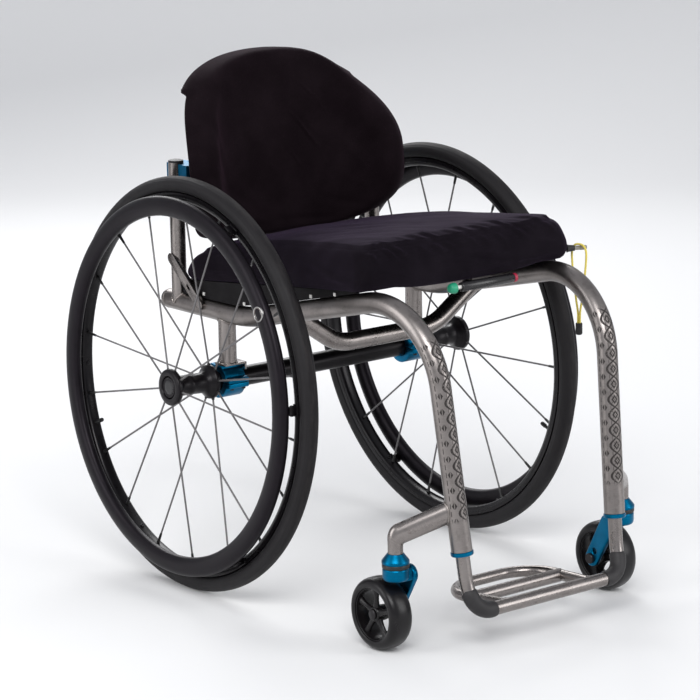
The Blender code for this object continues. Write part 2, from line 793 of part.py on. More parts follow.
def back_posts(chair):
    for name, side in (("right", -1), ("left", 1)):
        seat = seat_tube_z(POST_Y)
        low = (side * POST_X, POST_Y, seat)
        top = (side * POST_X, POST_Y, POST_TOP)
        bar = added(f"{name}_back_post", rod(POST_RADIUS, low, top), titanium(), chair)
        hole_foot = (low[0], low[1], seat - 0.03)
        hole_top = (top[0], top[1], POST_TOP + 0.01)
        hole = rod(POST_RADIUS - POST_WALL, hole_foot, hole_top, 12)
        cut(bar, added(f"{name}_post_bore", hole, parent=chair))
        cut(bar, side_cutter(side, chair))
        plug = (POST_RADIUS - POST_WALL - GAP) * math.cos(math.pi / 12)
        profile = [
            (-POST_CAP_PLUG, 0),
            (-POST_CAP_PLUG, plug),
            (GAP, plug),
            (GAP, POST_RADIUS),
            (POST_CAP_THICKNESS * 0.6, POST_RADIUS),
            (POST_CAP_THICKNESS, POST_RADIUS * 0.82),
            (POST_CAP_THICKNESS, 0),
        ]
        cap = turned(profile, 12, "Z")
        added(f"{name}_post_cap", cap, black_plastic(), chair, Matrix.Translation(top))


def gussets(chair):
    """Flat struts, slotted, between each back post and its seat tube."""
    foot = Vector((GUSSET_FOOT_Y, GUSSET_FOOT_Z))
    head = Vector((GUSSET_TOP_Y, GUSSET_TOP_Z))
    along = (head - foot).normalized()
    across = Vector((-along.y, along.x))
    half = GUSSET_WIDTH / 2
    turn = math.atan2(along.y, along.x)
    outline = arc(head, half, turn - TAU / 4, turn + TAU / 4, 5)
    outline += arc(foot, half, turn + TAU / 4, turn + TAU * 3 / 4, 5)
    middle = head.lerp(foot, GUSSET_SLOT_PLACE)
    reach = along * GUSSET_SLOT_LENGTH / 2
    width = across * GUSSET_SLOT_WIDTH / 2
    slot = [middle + reach + width, middle - reach + width, middle - reach - width, middle + reach - width]
    for name, side in (("right", -1), ("left", 1)):
        ends = sorted((side * GUSSET_INNER_X, side * GUSSET_OUTER_X))
        bar = added(f"{name}_gusset", plate(outline, *ends), titanium(), chair)
        window = plate(slot, ends[0] - 0.01, ends[1] + 0.01)
        cut(bar, added(f"{name}_gusset_slot", window, parent=chair))
        low = (side * POST_X, POST_Y, SEAT_REAR_Z - 0.05)
        high = (side * POST_X, POST_Y, POST_TOP)
        post = rod(around(POST_RADIUS, 16), low, high)
        cut(bar, added(f"{name}_post_cope", post, parent=chair))
        cut(bar, side_cutter(side, chair))


def camber_tube(chair):
    inner = CAMBER_TUBE_RADIUS - CAMBER_TUBE_WALL
    half = CAMBER_TUBE_HALF
    level = shifted_z(CAMBER_TUBE_Z)
    ring = [(-half, inner), (half, inner), (half, CAMBER_TUBE_RADIUS), (-half, CAMBER_TUBE_RADIUS)]
    added("camber_tube", turned(ring, 16), black_aluminium(), chair, level)
    fit = (inner - GAP) * math.cos(math.pi / 16)
    for name, side in (("right", -1), ("left", 1)):
        face = half + GAP
        profile = [
            (face - PLUG_DEPTH, 0),
            (face - PLUG_DEPTH, fit),
            (face, fit),
            (face, CAMBER_TUBE_RADIUS),
            (face + PLUG_FLANGE, CAMBER_TUBE_RADIUS - 0.0015),
            (face + PLUG_FLANGE, 0),
        ]
        mesh = turned(profile, 16)
        if side < 0:
            mesh.transform(Matrix.Rotation(math.pi, 4, "Z"))
        mesh.transform(level)
        plug = added(f"{name}_camber_plug", mesh, steel(), chair)
        hole = rod(around(AXLE_RADIUS, 12), (-AXLE_REACH - 0.03, 0, 0), (0, 0, 0), 12)
        hole.transform(wheel_frame(side))
        cut(plug, added(f"{name}_plug_bore", hole, parent=chair))


def clamp_half(top):
    """One half of a camber clamp as an outline of (y, z) points about the tube's middle."""
    bore = around(CAMBER_TUBE_RADIUS, 24)
    low = CLAMP_SPLIT / 2
    ear = low + CLAMP_EAR_HEIGHT
    start = math.asin(ear / CLAMP_RADIUS)
    outline = [(CLAMP_EAR_REACH, low), (CLAMP_EAR_REACH, ear)]
    if top:
        half = CLAMP_TOP_WIDTH / 2
        corner = math.acos(half / CLAMP_RADIUS)
        flat = clamp_top() - CAMBER_TUBE_Z
        outline += arc((0, 0), CLAMP_RADIUS, start, corner, 3)
        outline += [(half, flat), (-half, flat)]
        outline += arc((0, 0), CLAMP_RADIUS, math.pi - corner, math.pi - start, 3)
    else:
        outline += arc((0, 0), CLAMP_RADIUS, start, math.pi - start, 10)
    outline += [(-CLAMP_EAR_REACH, ear), (-CLAMP_EAR_REACH, low)]
    inside = math.asin(low / bore)
    outline += arc((0, 0), bore, math.pi - inside, inside, 12)
    return outline


def camber_clamps(chair):
    """Blue clamps round the camber tube; the upper half carries the riser on a spigot."""
    for name, side in (("right", -1), ("left", 1)):
        ends = sorted((side * CLAMP_INNER_X, side * CLAMP_OUTER_X))
        level = shifted_z(CAMBER_TUBE_Z)
        upper = added(f"{name}_clamp_top", plate(clamp_half(True), *ends), blue_anodised(), chair, level)
        fit = (RISER_RADIUS - RISER_WALL - GAP) * math.cos(math.pi / 12)
        shoulder = clamp_top() - CAMBER_TUBE_Z
        peg_foot = (side * RISER_X, RISER_Y, shoulder - 0.003)
        peg_top = (side * RISER_X, RISER_Y, shoulder + SPIGOT_LENGTH)
        peg = rod(fit, peg_foot, peg_top, 12)
        joined(upper, added(f"{name}_spigot", peg, parent=chair, place=level))
        lower = plate([(y, -z) for y, z in clamp_half(False)], *ends)
        added(f"{name}_clamp_base", lower, blue_anodised(), chair, level)


def leg_point(z, side):
    """The middle line of a front leg at this height."""
    end = Vector((LEG_END_X, LEG_END_Y, LEG_END_Z))
    return mirrored(end + LEG_AXIS * (z - LEG_END_Z) / LEG_AXIS.z, side)


def leg_collars(chair):
    """Blue collars on the open ends of the front legs, with an oval way for the footrest."""
    for name, side in (("right", -1), ("left", 1)):
        down = mirrored(-LEG_AXIS, side).normalized()
        end = mirrored((LEG_END_X, LEG_END_Y, LEG_END_Z), side)
        sleeve = (TUBE_RADIUS - TUBE_WALL) * math.cos(math.pi / 8) - GAP
        profile = [
            (-COLLAR_SLEEVE_LENGTH, 0),
            (-COLLAR_SLEEVE_LENGTH, sleeve),
            (GAP, sleeve),
            (GAP, COLLAR_RADIUS),
            (COLLAR_HEIGHT - 0.001, COLLAR_RADIUS),
            (COLLAR_HEIGHT, COLLAR_RADIUS - 0.001),
            (COLLAR_HEIGHT, 0),
        ]
        mesh = turned(profile, 14)
        turn = down.to_track_quat("X", "Y").to_matrix().to_4x4()
        mesh.transform(Matrix.Translation(end) @ turn)
        ring = added(f"{name}_leg_collar", mesh, blue_anodised(), chair)
        way = around(FOOT_TUBE_RADIUS, 16)
        hole = rod(way, (-0.05, 0, 0), (0.05, 0, 0))
        wide = (way + FOOT_TUBE_SIDE_PLAY) / way
        sideways = (Vector((1, 0, 0)) - down * down.x).normalized()
        bore_turn = Matrix((down, sideways, down.cross(sideways))).transposed().to_4x4()
        hole.transform(Matrix.Translation(end) @ bore_turn @ Matrix.Diagonal((1, wide, 1, 1)))
        cut(ring, added(f"{name}_collar_bore", hole, parent=chair))


def foot_path():
    """The footrest's main tube, from inside one leg, down, across the front and up again."""
    top = LEG_END_Z + FOOT_LEG_INSERT
    half = [
        leg_point(top, 1),
        leg_point(FOOT_KNEE_Z, 1),
        Vector((FOOT_CORNER_X, FOOT_BAR_Y, FOOT_BAR_Z)),
    ]
    corners = [mirrored(point, -1) for point in half] + half[::-1]
    radii = (FOOT_KNEE_RADIUS, FOOT_BEND_RADIUS, FOOT_BEND_RADIUS, FOOT_KNEE_RADIUS)
    return rounded_path(corners, radii, step=math.radians(19))


def foot_sleeve_path(side):
    """The stretch of the footrest's tube under a rubber sleeve."""
    path = [mirrored(point, -side) for point in foot_path()]
    kept = [point for point in path if point.z < SLEEVE_TOP_Z and point.x * side > 0]
    upper = leg_point(SLEEVE_TOP_Z, side)
    knee = min((point for point in path if point.x * side > 0 and point.z > SLEEVE_TOP_Z), key=lambda p: p.z)
    share = (knee.z - SLEEVE_TOP_Z) / (knee.z - kept[0].z)
    upper = knee.lerp(kept[0], share)
    inner = Vector((side * SLEEVE_END_X, FOOT_BAR_Y, FOOT_BAR_Z))
    return [upper] + kept + [inner]


def footrest(chair):
    bar = added("footrest", tube(foot_path(), FOOT_TUBE_RADIUS, sides=FOOT_TUBE_SIDES), titanium(), chair)
    rear_z = FOOT_BAR_Z - LOOP_DROP
    corners = [
        (-LOOP_FRONT_X, FOOT_BAR_Y, FOOT_BAR_Z),
        (-LOOP_REAR_X, LOOP_REAR_Y, rear_z),
        (LOOP_REAR_X, LOOP_REAR_Y, rear_z),
        (LOOP_FRONT_X, FOOT_BAR_Y, FOOT_BAR_Z),
    ]
    loop = tube(rounded_path(corners, (LOOP_BEND_RADIUS, LOOP_BEND_RADIUS), math.radians(16)), LOOP_RADIUS, 8)
    share = (MIDDLE_BAR_Y - FOOT_BAR_Y) / (LOOP_REAR_Y - FOOT_BAR_Y)
    reach = LOOP_FRONT_X + (LOOP_REAR_X - LOOP_FRONT_X) * share
    middle_z = FOOT_BAR_Z - LOOP_DROP * share
    middle = rod(MIDDLE_BAR_RADIUS, (-reach, MIDDLE_BAR_Y, middle_z), (reach, MIDDLE_BAR_Y, middle_z), 10)
    joined(bar, added("footrest_loop", loop, parent=chair))
    joined(bar, added("footrest_middle", middle, parent=chair))
    for name, side in (("right", -1), ("left", 1)):
        inner = around(FOOT_TUBE_RADIUS, FOOT_TUBE_SIDES)
        mesh = pipe(foot_sleeve_path(side), inner + SLEEVE_WALL, inner, FOOT_TUBE_SIDES)
        added(f"{name}_footrest_sleeve", mesh, rubber(), chair)


def ellipse_ring(centre, wide, tall, sides):
    points = []
    for i in range(sides):
        angle = TAU * i / sides
        points.append(centre + wide * math.cos(angle) + tall * math.sin(angle))
    return points


def caster_arms(chair):
    """Oval arms from the front legs, bent down into the necks that hold the casters."""
    for name, side in (("right", -1), ("left", 1)):
        root = leg_point(ARM_ROOT_Z, side)
        corner = Vector((side * CASTER_X, SWIVEL_Y, ARM_CORNER_Z))
        along = (corner - root).normalized()
        wide = along.cross(Vector((0, 0, 1))).normalized()
        tall = wide.cross(along).normalized()
        flat = Vector((along.x, along.y, 0)).normalized()
        rings = [ellipse_ring(root, wide * ARM_HALF_WIDTH, tall * ARM_HALF_HEIGHT, 16)]
        run = (corner - root).dot(flat) - NECK_RADIUS - ARM_BEND_INSIDE
        start = root - tall * (ARM_HALF_HEIGHT + ARM_BEND_INSIDE)
        pivot = start + along * (run - (start - root).dot(flat)) / along.dot(flat)
        for k in range(ARM_BEND_STEPS + 1):
            share = k / ARM_BEND_STEPS
            out = tall.slerp(flat, share)
            half = ARM_HALF_HEIGHT + (NECK_RADIUS - ARM_HALF_HEIGHT) * share
            half_width = ARM_HALF_WIDTH + (NECK_RADIUS - ARM_HALF_WIDTH) * share
            centre = pivot + out * (half + ARM_BEND_INSIDE)
            rings.append(ellipse_ring(centre, wide * half_width, out * half, 16))
        neck_end = Vector((side * CASTER_X, SWIVEL_Y, NECK_END_Z + GAP))
        rings.append(ellipse_ring(neck_end, wide * NECK_RADIUS, flat * NECK_RADIUS, 16))
        arm = added(f"{name}_caster_arm", skinned(rings), titanium(), chair)
        cut(arm, side_cutter(side, chair))


def linked(first, first_radius, second, second_radius, steps):
    """The outline of a link round two circles of (y, z) centres."""
    first = Vector(first)
    second = Vector(second)
    along = second - first
    lean = math.acos((first_radius - second_radius) / along.length)
    turn = math.atan2(along.y, along.x)
    outline = arc(second, second_radius, turn - lean, turn + lean, steps)
    outline += arc(first, first_radius, turn + lean, turn + TAU - lean, steps)
    return outline


def casters(chair):
    """Casters, each under a fixed blue housing, on a one-sided fork on the inboard side."""
    housing_base = NECK_END_Z - HOUSING_HEIGHT
    seal_base = housing_base - GAP - SEAL_HEIGHT
    crown_top = seal_base - GAP
    crown_base = crown_top - CROWN_HEIGHT
    bore = around(STEM_RADIUS, 14)
    stem_top = NECK_END_Z - 0.0030
    leg_near = CASTER_HALF_WIDTH + FORK_GAP
    leg_far = leg_near + FORK_THICKNESS
    for name, side in (("right", -1), ("left", 1)):
        swivel = Matrix.Translation((side * CASTER_X, SWIVEL_Y, 0))
        housing = [
            (NECK_END_Z, 0),
            (NECK_END_Z, HOUSING_TOP_RADIUS - 0.0006),
            (NECK_END_Z - 0.0006, HOUSING_TOP_RADIUS),
            (housing_base + HOUSING_RIM_HEIGHT, HOUSING_BASE_RADIUS),
            (housing_base, HOUSING_BASE_RADIUS),
            (housing_base, bore),
            (stem_top + GAP, bore),
            (stem_top + GAP, 0),
        ]
        added(f"{name}_caster_housing", turned(housing, 16, "Z"), blue_anodised(), chair, swivel)
        seal = [
            (seal_base, bore),
            (seal_base, SEAL_RADIUS - 0.0012),
            (seal_base + 0.0020, SEAL_RADIUS),
            (seal_base + SEAL_HEIGHT, SEAL_RADIUS),
            (seal_base + SEAL_HEIGHT, bore),
        ]
        added(f"{name}_caster_seal", turned(seal, 16, "Z"), rubber(), chair, swivel)

        crown = [
            (crown_base, 0),
            (crown_base, CROWN_RADIUS - 0.0025),
            (crown_base + 0.0035, CROWN_RADIUS),
            (crown_top, CROWN_RADIUS),
            (crown_top, STEM_RADIUS),
            (stem_top, STEM_RADIUS),
            (stem_top, 0),
        ]
        fork = added(f"{name}_caster_fork", turned(crown, 16, "Z"), blue_anodised(), chair, swivel)
        middle = Matrix.Translation((side * CASTER_X, 0, 0))
        inward = -side
        shoulder_top = FORK_BEND_Z + FORK_TOP_RADIUS * 0.78
        shoulder = plate(
            [
                (SWIVEL_Y - FORK_TOP_RADIUS * 0.85, FORK_BEND_Z - FORK_TOP_RADIUS * 0.40),
                (SWIVEL_Y + FORK_TOP_RADIUS * 0.85, FORK_BEND_Z - FORK_TOP_RADIUS * 0.40),
                (SWIVEL_Y + FORK_TOP_RADIUS * 0.62, shoulder_top),
                (SWIVEL_Y - FORK_TOP_RADIUS * 0.62, shoulder_top),
            ],
            *sorted((inward * 0.004, inward * (leg_far - 0.0010))),
        )
        joined(fork, added(f"{name}_fork_shoulder", shoulder, parent=chair, place=middle))
        axle = (CASTER_AXLE_Y, CASTER_RADIUS)
        leg = plate(
            linked((SWIVEL_Y, FORK_BEND_Z), FORK_TOP_RADIUS, axle, FORK_END_RADIUS, 7),
            *sorted((inward * leg_near, inward * leg_far)),
        )
        joined(fork, added(f"{name}_fork_leg", leg, parent=chair, place=middle))
        hole_radius = around(CASTER_AXLE_RADIUS, 12)
        lean = (Vector((SWIVEL_Y, FORK_BEND_Z)) - Vector(axle)).normalized() * AXLE_HOLE_PITCH
        for k in range(2):
            y = axle[0] + lean.x * k
            z = axle[1] + lean.y * k
            hole_start = (inward * (leg_near - 0.004), y, z)
            hole_end = (inward * (leg_far + 0.01), y, z)
            hole = rod(hole_radius, hole_start, hole_end, 12)
            cut(fork, added(f"{name}_fork_hole_{k}", hole, parent=chair, place=middle))

        centre = Matrix.Translation((side * CASTER_X, CASTER_AXLE_Y, CASTER_RADIUS))
        flip = Matrix.Rotation(0 if side < 0 else math.pi, 4, "Z")
        added(f"{name}_caster_tyre", caster_tyre_mesh(), rubber(), chair, centre @ flip)
        wheel = added(f"{name}_caster_wheel", caster_wheel_mesh(), black_plastic(), chair, centre @ flip)
        for k in range(CASTER_SPOKES):
            window = caster_window_mesh(TAU * k / CASTER_SPOKES)
            cut(wheel, added(f"{name}_caster_window_{k}", window, parent=chair, place=centre @ flip))
        added(f"{name}_caster_axle", caster_axle_mesh(leg_near, leg_far), steel(), chair, centre @ flip)


def caster_tyre_mesh():
    seat = CASTER_RIM_RADIUS + GAP
    half = CASTER_HALF_WIDTH
    profile = [
        (half - 0.0012, seat),
        (half, seat + 0.0035),
        (half - 0.0030, CASTER_RADIUS - 0.0022),
        (half - 0.0105, CASTER_RADIUS),
    ]
    profile += [(-along, radius) for along, radius in profile[::-1]]
    return turned(profile, CASTER_STEPS)


def caster_wheel_mesh():
    bore = around(CASTER_AXLE_RADIUS, 14)
    half = CASTER_RIM_HALF
    side = [
        (half - 0.0015, bore),
        (half - 0.0015, 0.0125),
        (0.0045, 0.0145),
        (0.0045, CASTER_RIM_RADIUS - 0.0050),
        (half, CASTER_RIM_RADIUS - 0.0026),
        (half, CASTER_RIM_RADIUS),
    ]
    profile = side + [(-along, radius) for along, radius in side[::-1]]
    return turned(profile, CASTER_STEPS)


def caster_window_mesh(turn):
    """A window between two caster spokes, as a cutter along the axle."""
    outline = []
    for reach, half in ((0.0175, 0.30), (0.0290, 0.42)):
        steps = (-1, 0, 1) if reach > 0.02 else (1, -1)
        for step in steps:
            angle = turn + half * step
            outline.append((reach * math.cos(angle), reach * math.sin(angle)))
    return plate(outline, -0.02, 0.02)


def caster_axle_mesh(leg_near, leg_far):
    """The caster's axle bolt: head outboard at -X, spacer, and nut on the fork's far face."""
    head = -CASTER_RIM_HALF + 0.0015 - GAP
    nut = leg_far + GAP
    profile = [
        (head - 0.0030, 0),
        (head - 0.0030, CASTER_NUT_RADIUS - 0.0010),
        (head - 0.0020, CASTER_NUT_RADIUS),
        (head, CASTER_NUT_RADIUS),
        (head, CASTER_AXLE_RADIUS),
        (-head, CASTER_AXLE_RADIUS),
        (-head, CASTER_NUT_RADIUS - 0.0010),
        (leg_near - GAP, CASTER_NUT_RADIUS - 0.0010),
        (leg_near - GAP, CASTER_AXLE_RADIUS),
        (nut, CASTER_AXLE_RADIUS),
        (nut, CASTER_NUT_RADIUS),
        (nut + CASTER_NUT_THICKNESS, CASTER_NUT_RADIUS),
        (nut + CASTER_NUT_THICKNESS, 0),
    ]
    return turned(profile, 10)


def back_y(x, z):
    """The rear face of the backrest shell."""
    return BACK_REAR_Y + BACK_RECLINE * (z - BACK_LEVEL) - BACK_WRAP * (abs(x) / BACK_HALF_WIDTH) ** 4


def back_point(x, z, offset):
    """A point this far in front of the shell's rear face, square to it."""
    step = 0.0005
    lean_x = (back_y(x + step, z) - back_y(x - step, z)) / (2 * step)
    lean_z = BACK_RECLINE
    normal = Vector((lean_x, -1, lean_z)).normalized()
    return Vector((x, back_y(x, z), z)) + normal * offset


def hood_swell(z):
    """How much wider the pad is where its cover is pulled over the shell's top."""
    share = min(1.0, max(0.0, (z - HOOD_BASE_Z) / (HOOD_TOP_Z - HOOD_BASE_Z)))
    return 1 + HOOD_SWELL * share * share * (3 - 2 * share)


def back_outline(share, offset, hooded=False):
    """A ring of the backrest's outline, shrunk to a share of its size."""
    ring = []
    for i in range(BACK_SIDES):
        angle = TAU * (i + 0.5) / BACK_SIDES
        c = math.cos(angle)
        s = math.sin(angle)
        power = 2 / (BACK_TOP_ROUND if s > 0 else BACK_BOTTOM_ROUND)
        x = BACK_HALF_WIDTH * math.copysign(abs(c) ** power, c)
        z = (BACK_TOP if s > 0 else BACK_BOTTOM) * math.copysign(abs(s) ** power, s)
        if s < 0:
            z += BACK_BOTTOM_LIFT * max(0.0, 1 - (x / BACK_HALF_WIDTH) ** 2) ** 2
        swell = hood_swell(BACK_MIDDLE_Z + z) if hooded else 1.0
        ring.append(back_point(x * share * swell, BACK_MIDDLE_Z + z * share, offset))
    return ring


def domed(rings, first, last):
    """A closed skin over rings whose ends come together in one point each."""
    bm = bmesh.new()
    loops = [[bm.verts.new(point) for point in ring] for ring in rings]
    for lower, upper in zip(loops, loops[1:]):
        count = len(lower)
        for i in range(count):
            j = (i + 1) % count
            bm.faces.new((lower[i], lower[j], upper[j]))
            bm.faces.new((lower[i], upper[j], upper[i]))
    for loop, tip in ((loops[0], first), (loops[-1], last)):
        middle = bm.verts.new(tip)
        for i, corner in enumerate(loop):
            bm.faces.new((corner, loop[(i + 1) % len(loop)], middle))
    return tidied(bm)


def backrest(chair):
    """The shell and its pad. Both skins end at the face where they meet, so that their facets match."""
    shares = (0.45, 0.75, 0.92, 1.0)
    rings = [back_outline(share, 0) for share in shares]
    rings += [back_outline(share, SHELL_THICKNESS) for share in shares[::-1]]
    ends = [back_point(0, BACK_MIDDLE_Z, offset) for offset in (0, SHELL_THICKNESS)]
    added("backrest_shell", domed(rings, *ends), black_plastic(), chair)

    back = SHELL_THICKNESS + GAP
    thick = PAD_THICKNESS - back
    rings = [
        back_outline(0.30, back + thick + PAD_CROWN * 0.95),
        back_outline(0.60, back + thick + PAD_CROWN * 0.6),
        back_outline(0.92, back + thick),
        back_outline(1.0, back + thick * 0.82, hooded=True),
        back_outline(PAD_BULGE, back + thick * 0.48, hooded=True),
        back_outline(1.0, back + thick * 0.14, hooded=True),
    ]
    rings += [back_outline(share, back) for share in shares[-2::-1]]
    ends = [back_point(0, BACK_MIDDLE_Z, PAD_THICKNESS + PAD_CROWN), back_point(0, BACK_MIDDLE_Z, back)]
    added("backrest_pad", domed(rings, *ends), cloth(), chair)


def shell_room(chair):
    """The space in front of the shell's rear face, with the running gap, to fit brackets to it."""
    rings = [back_outline(share, -GAP) for share in (0.45, 0.75, 0.92, 1.0, 1.12)]
    rings += [back_outline(share, PAD_THICKNESS) for share in (1.12, 0.45)]
    ends = [back_point(0, BACK_MIDDLE_Z, offset) for offset in (-GAP, PAD_THICKNESS)]
    return added("shell_room", domed(rings, *ends), parent=chair)


def back_brackets(chair):
    """Blue clamps that hold the shell on the back posts."""
    room = shell_room(chair)
    for name, side in (("right", -1), ("left", 1)):
        front = back_y(BRACKET_INNER_X, BRACKET_HIGH) - PAD_THICKNESS * 0.6
        block = box(
            (side * BRACKET_INNER_X, front, BRACKET_LOW),
            (side * BRACKET_OUTER_X, POST_Y + BRACKET_REAR, BRACKET_HIGH),
        )
        made = added(f"{name}_back_bracket", block, blue_anodised(), chair)
        hole = rod(
            around(POST_RADIUS, 16),
            (side * POST_X, POST_Y, BRACKET_LOW - 0.01),
            (side * POST_X, POST_Y, BRACKET_HIGH + 0.01),
        )
        cut(made, added(f"{name}_bracket_bore", hole, parent=chair))
        cut(made, room)


def seat_top(y):
    """The height of the seat pan, on which the cushion lies."""
    return SEAT_REAR_TOP + SEAT_SLOPE * (PAN_REAR_Y - y)


def seat_pan(chair):
    """A taut sheet between two rails that stand on the seat tubes."""
    rings = []
    count = 7
    for i in range(count):
        y = PAN_REAR_Y + (PAN_FRONT_Y - PAN_REAR_Y) * i / (count - 1)
        on = seat_tube_point(y)
        slope = (seat_tube_z(y - 0.004) - seat_tube_z(y + 0.004)) / 0.008 if i < count - 1 else 0.233
        low = on.z + (TUBE_RADIUS + GAP) * math.hypot(1, slope) + 0.0002
        top = seat_top(y)
        outer = on.x + PAN_HALF_WIDTH_EXTRA
        inner = outer - PAN_RAIL_WIDTH
        sheet = max(top - PAN_SHEET, (top + low) / 2)
        half = [(inner, sheet), (inner, low), (outer, low), (outer, top)]
        ring = [Vector((x, y, z)) for x, z in half]
        ring += [Vector((-x, y, z)) for x, z in half[::-1]]
        rings.append(ring)
    added("seat_pan", skinned(rings), black_plastic(), chair)


def cushion_outline(inset, count=36):
    """The cushion's plan, inset. All but its front side are drawn in between the corners."""
    half = CUSHION_HALF_WIDTH - inset
    front = CUSHION_FRONT_Y + inset
    rear = CUSHION_REAR_Y - inset
    points = []
    corners = [
        ((half, rear), CUSHION_REAR_CORNER, 0),
        ((-half, rear), CUSHION_REAR_CORNER, 1),
        ((-half, front), CUSHION_FRONT_CORNER, 2),
        ((half, front), CUSHION_FRONT_CORNER, 3),
    ]
    bend = 4
    straight = count // 4 - bend - 1
    for i, ((x, y), radius, quarter) in enumerate(corners):
        radius = max(radius - inset, 0.006)
        middle = (x - math.copysign(radius, x), y - math.copysign(radius, y - 0.5 * (front + rear)))
        start = quarter * TAU / 4
        points += arc(middle, radius, start, start + TAU / 4, bend)
        (nx, ny), next_radius, _ = corners[(i + 1) % 4]
        next_radius = max(next_radius - inset, 0.006)
        here = Vector(points[-1])
        if quarter % 2 == 0:
            there = Vector((nx - math.copysign(next_radius, nx), ny))
        else:
            there = Vector((nx, ny - math.copysign(next_radius, ny - 0.5 * (front + rear))))
        inward = Vector((-(there - here).y, (there - here).x)).normalized()
        for k in range(1, straight + 1):
            share = k / (straight + 1)
            draw = 0 if quarter == 2 else CUSHION_DRAW_IN * math.sin(math.pi * share)
            points.append(tuple(here.lerp(there, share) + inward * draw))
    return points


def cushion_under(x, y):
    """The cushion's underside: flat on the pan, sagging a little past its front edge."""
    edge = max(0.0, (CUSHION_FRONT_Y + CUSHION_LIP - y) / CUSHION_LIP)
    sag = CUSHION_FRONT_SAG * edge * max(0.0, 1 - (abs(x) / 0.125) ** 4)
    return seat_top(y) + GAP - sag


def cushion_thickness(y):
    share = max(0.0, (y - CUSHION_TAPER_Y) / (CUSHION_REAR_Y - CUSHION_TAPER_Y))
    return CUSHION_FRONT_THICKNESS - (CUSHION_FRONT_THICKNESS - CUSHION_REAR_THICKNESS) * share**2.2


def cushion_ring(inset, share, crown):
    ring = []
    for x, y in cushion_outline(inset):
        ring.append(Vector((x, y, cushion_under(x, y) + cushion_thickness(y) * share + crown)))
    return ring


def cushion(chair):
    """A crowned cushion with rounded, drawn-in sides."""
    levels = (
        (0.060, 0.0, 0.0),
        (CUSHION_LIP, 0.0, 0.0),
        (CUSHION_EDGE, 0.0, 0.0),
        (0.0010, 0.18, 0.0),
        (0.0, 0.42, 0.0),
        (0.0015, 0.72, 0.0),
        (0.009, 0.95, 0.0),
        (0.024, 1.0, CUSHION_CROWN * 0.25),
        (0.055, 1.0, CUSHION_CROWN * 0.62),
        (0.105, 1.0, CUSHION_CROWN * 0.93),
    )
    rings = [cushion_ring(*level) for level in levels]
    middle_y = (CUSHION_FRONT_Y + CUSHION_REAR_Y) / 2
    low = Vector((0, middle_y, cushion_under(0, middle_y)))
    high = Vector((0, middle_y, cushion_under(0, middle_y) + cushion_thickness(middle_y) + CUSHION_CROWN))
    added("cushion", domed(rings, low, high), cloth(), chair)


def slide_valve(chair):
    """The cushion's slide valve under its front edge: a barrel with a push rod through it."""
    y = SLIDE_VALVE_Y
    edge = CUSHION_FRONT_Y + CUSHION_EDGE
    reach = SLIDE_VALVE_RADIUS + SLIDE_VALVE_GAP
    z = cushion_under(0, edge) - math.sqrt(reach**2 - (y - edge) ** 2)
    place = Matrix.Translation((SLIDE_VALVE_X, y, z))
    bore = around(SLIDE_ROD_RADIUS, 12)
    r = SLIDE_VALVE_RADIUS
    barrel = [
        (0, bore),
        (0, r - 0.0008),
        (0.0010, r),
        (SLIDE_VALVE_LENGTH - 0.0010, r),
        (SLIDE_VALVE_LENGTH, r - 0.0008),
        (SLIDE_VALVE_LENGTH, bore),
    ]
    added("slide_valve_barrel", turned(barrel, 14), black_plastic(), chair, place)
    knob = SLIDE_KNOB_RADIUS
    near = -GAP - SLIDE_TRAVEL
    far = SLIDE_VALVE_LENGTH + GAP
    pushed = [
        (near - SLIDE_KNOB_LENGTH, 0),
        (near - SLIDE_KNOB_LENGTH, knob * 0.45),
        (near - SLIDE_KNOB_LENGTH * 0.72, knob * 0.86),
        (near - SLIDE_KNOB_LENGTH * 0.36, knob),
        (near, knob * 0.62),
        (near, SLIDE_ROD_RADIUS),
        (far, SLIDE_ROD_RADIUS),
        (far, r * 0.92),
        (far + SLIDE_KNOB_LENGTH * 0.40, r * 0.92),
        (far + SLIDE_KNOB_LENGTH * 0.50, r * 0.6),
        (far + SLIDE_KNOB_LENGTH * 0.50, 0),
    ]
    knob_green = finish("green_plastic", (0.01, 0.25, 0.15), 0.5)
    added("slide_valve_rod", turned(pushed, 12), knob_green, chair, place)


def air_valve_place():
    """Where the air valve leaves the cushion's front left corner, and its outward direction."""
    out = Vector((math.cos(AIR_VALVE_TURN), math.sin(AIR_VALVE_TURN), 0))
    radius = CUSHION_FRONT_CORNER
    corner = Vector((CUSHION_HALF_WIDTH - radius, CUSHION_FRONT_Y + radius, AIR_VALVE_Z)) + out * radius
    return corner - out * AIR_VALVE_SUNK, out


def air_valve(chair):
    start, out = air_valve_place()
    mid = AIR_VALVE_BASE_LENGTH
    end = mid + AIR_VALVE_STEM_LENGTH
    r = AIR_VALVE_STEM_RADIUS
    profile = [
        (0, 0),
        (0, AIR_VALVE_BASE_RADIUS),
        (mid * 0.7, AIR_VALVE_BASE_RADIUS),
        (mid, r + 0.0008),
        (mid, r),
        (end - 0.0010, r),
        (end, r - 0.0010),
        (end, 0),
    ]
    mesh = turned(profile, 12)
    turn = out.to_track_quat("X", "Z").to_matrix().to_4x4()
    added("air_valve", mesh, steel(), chair, Matrix.Translation(start) @ turn)


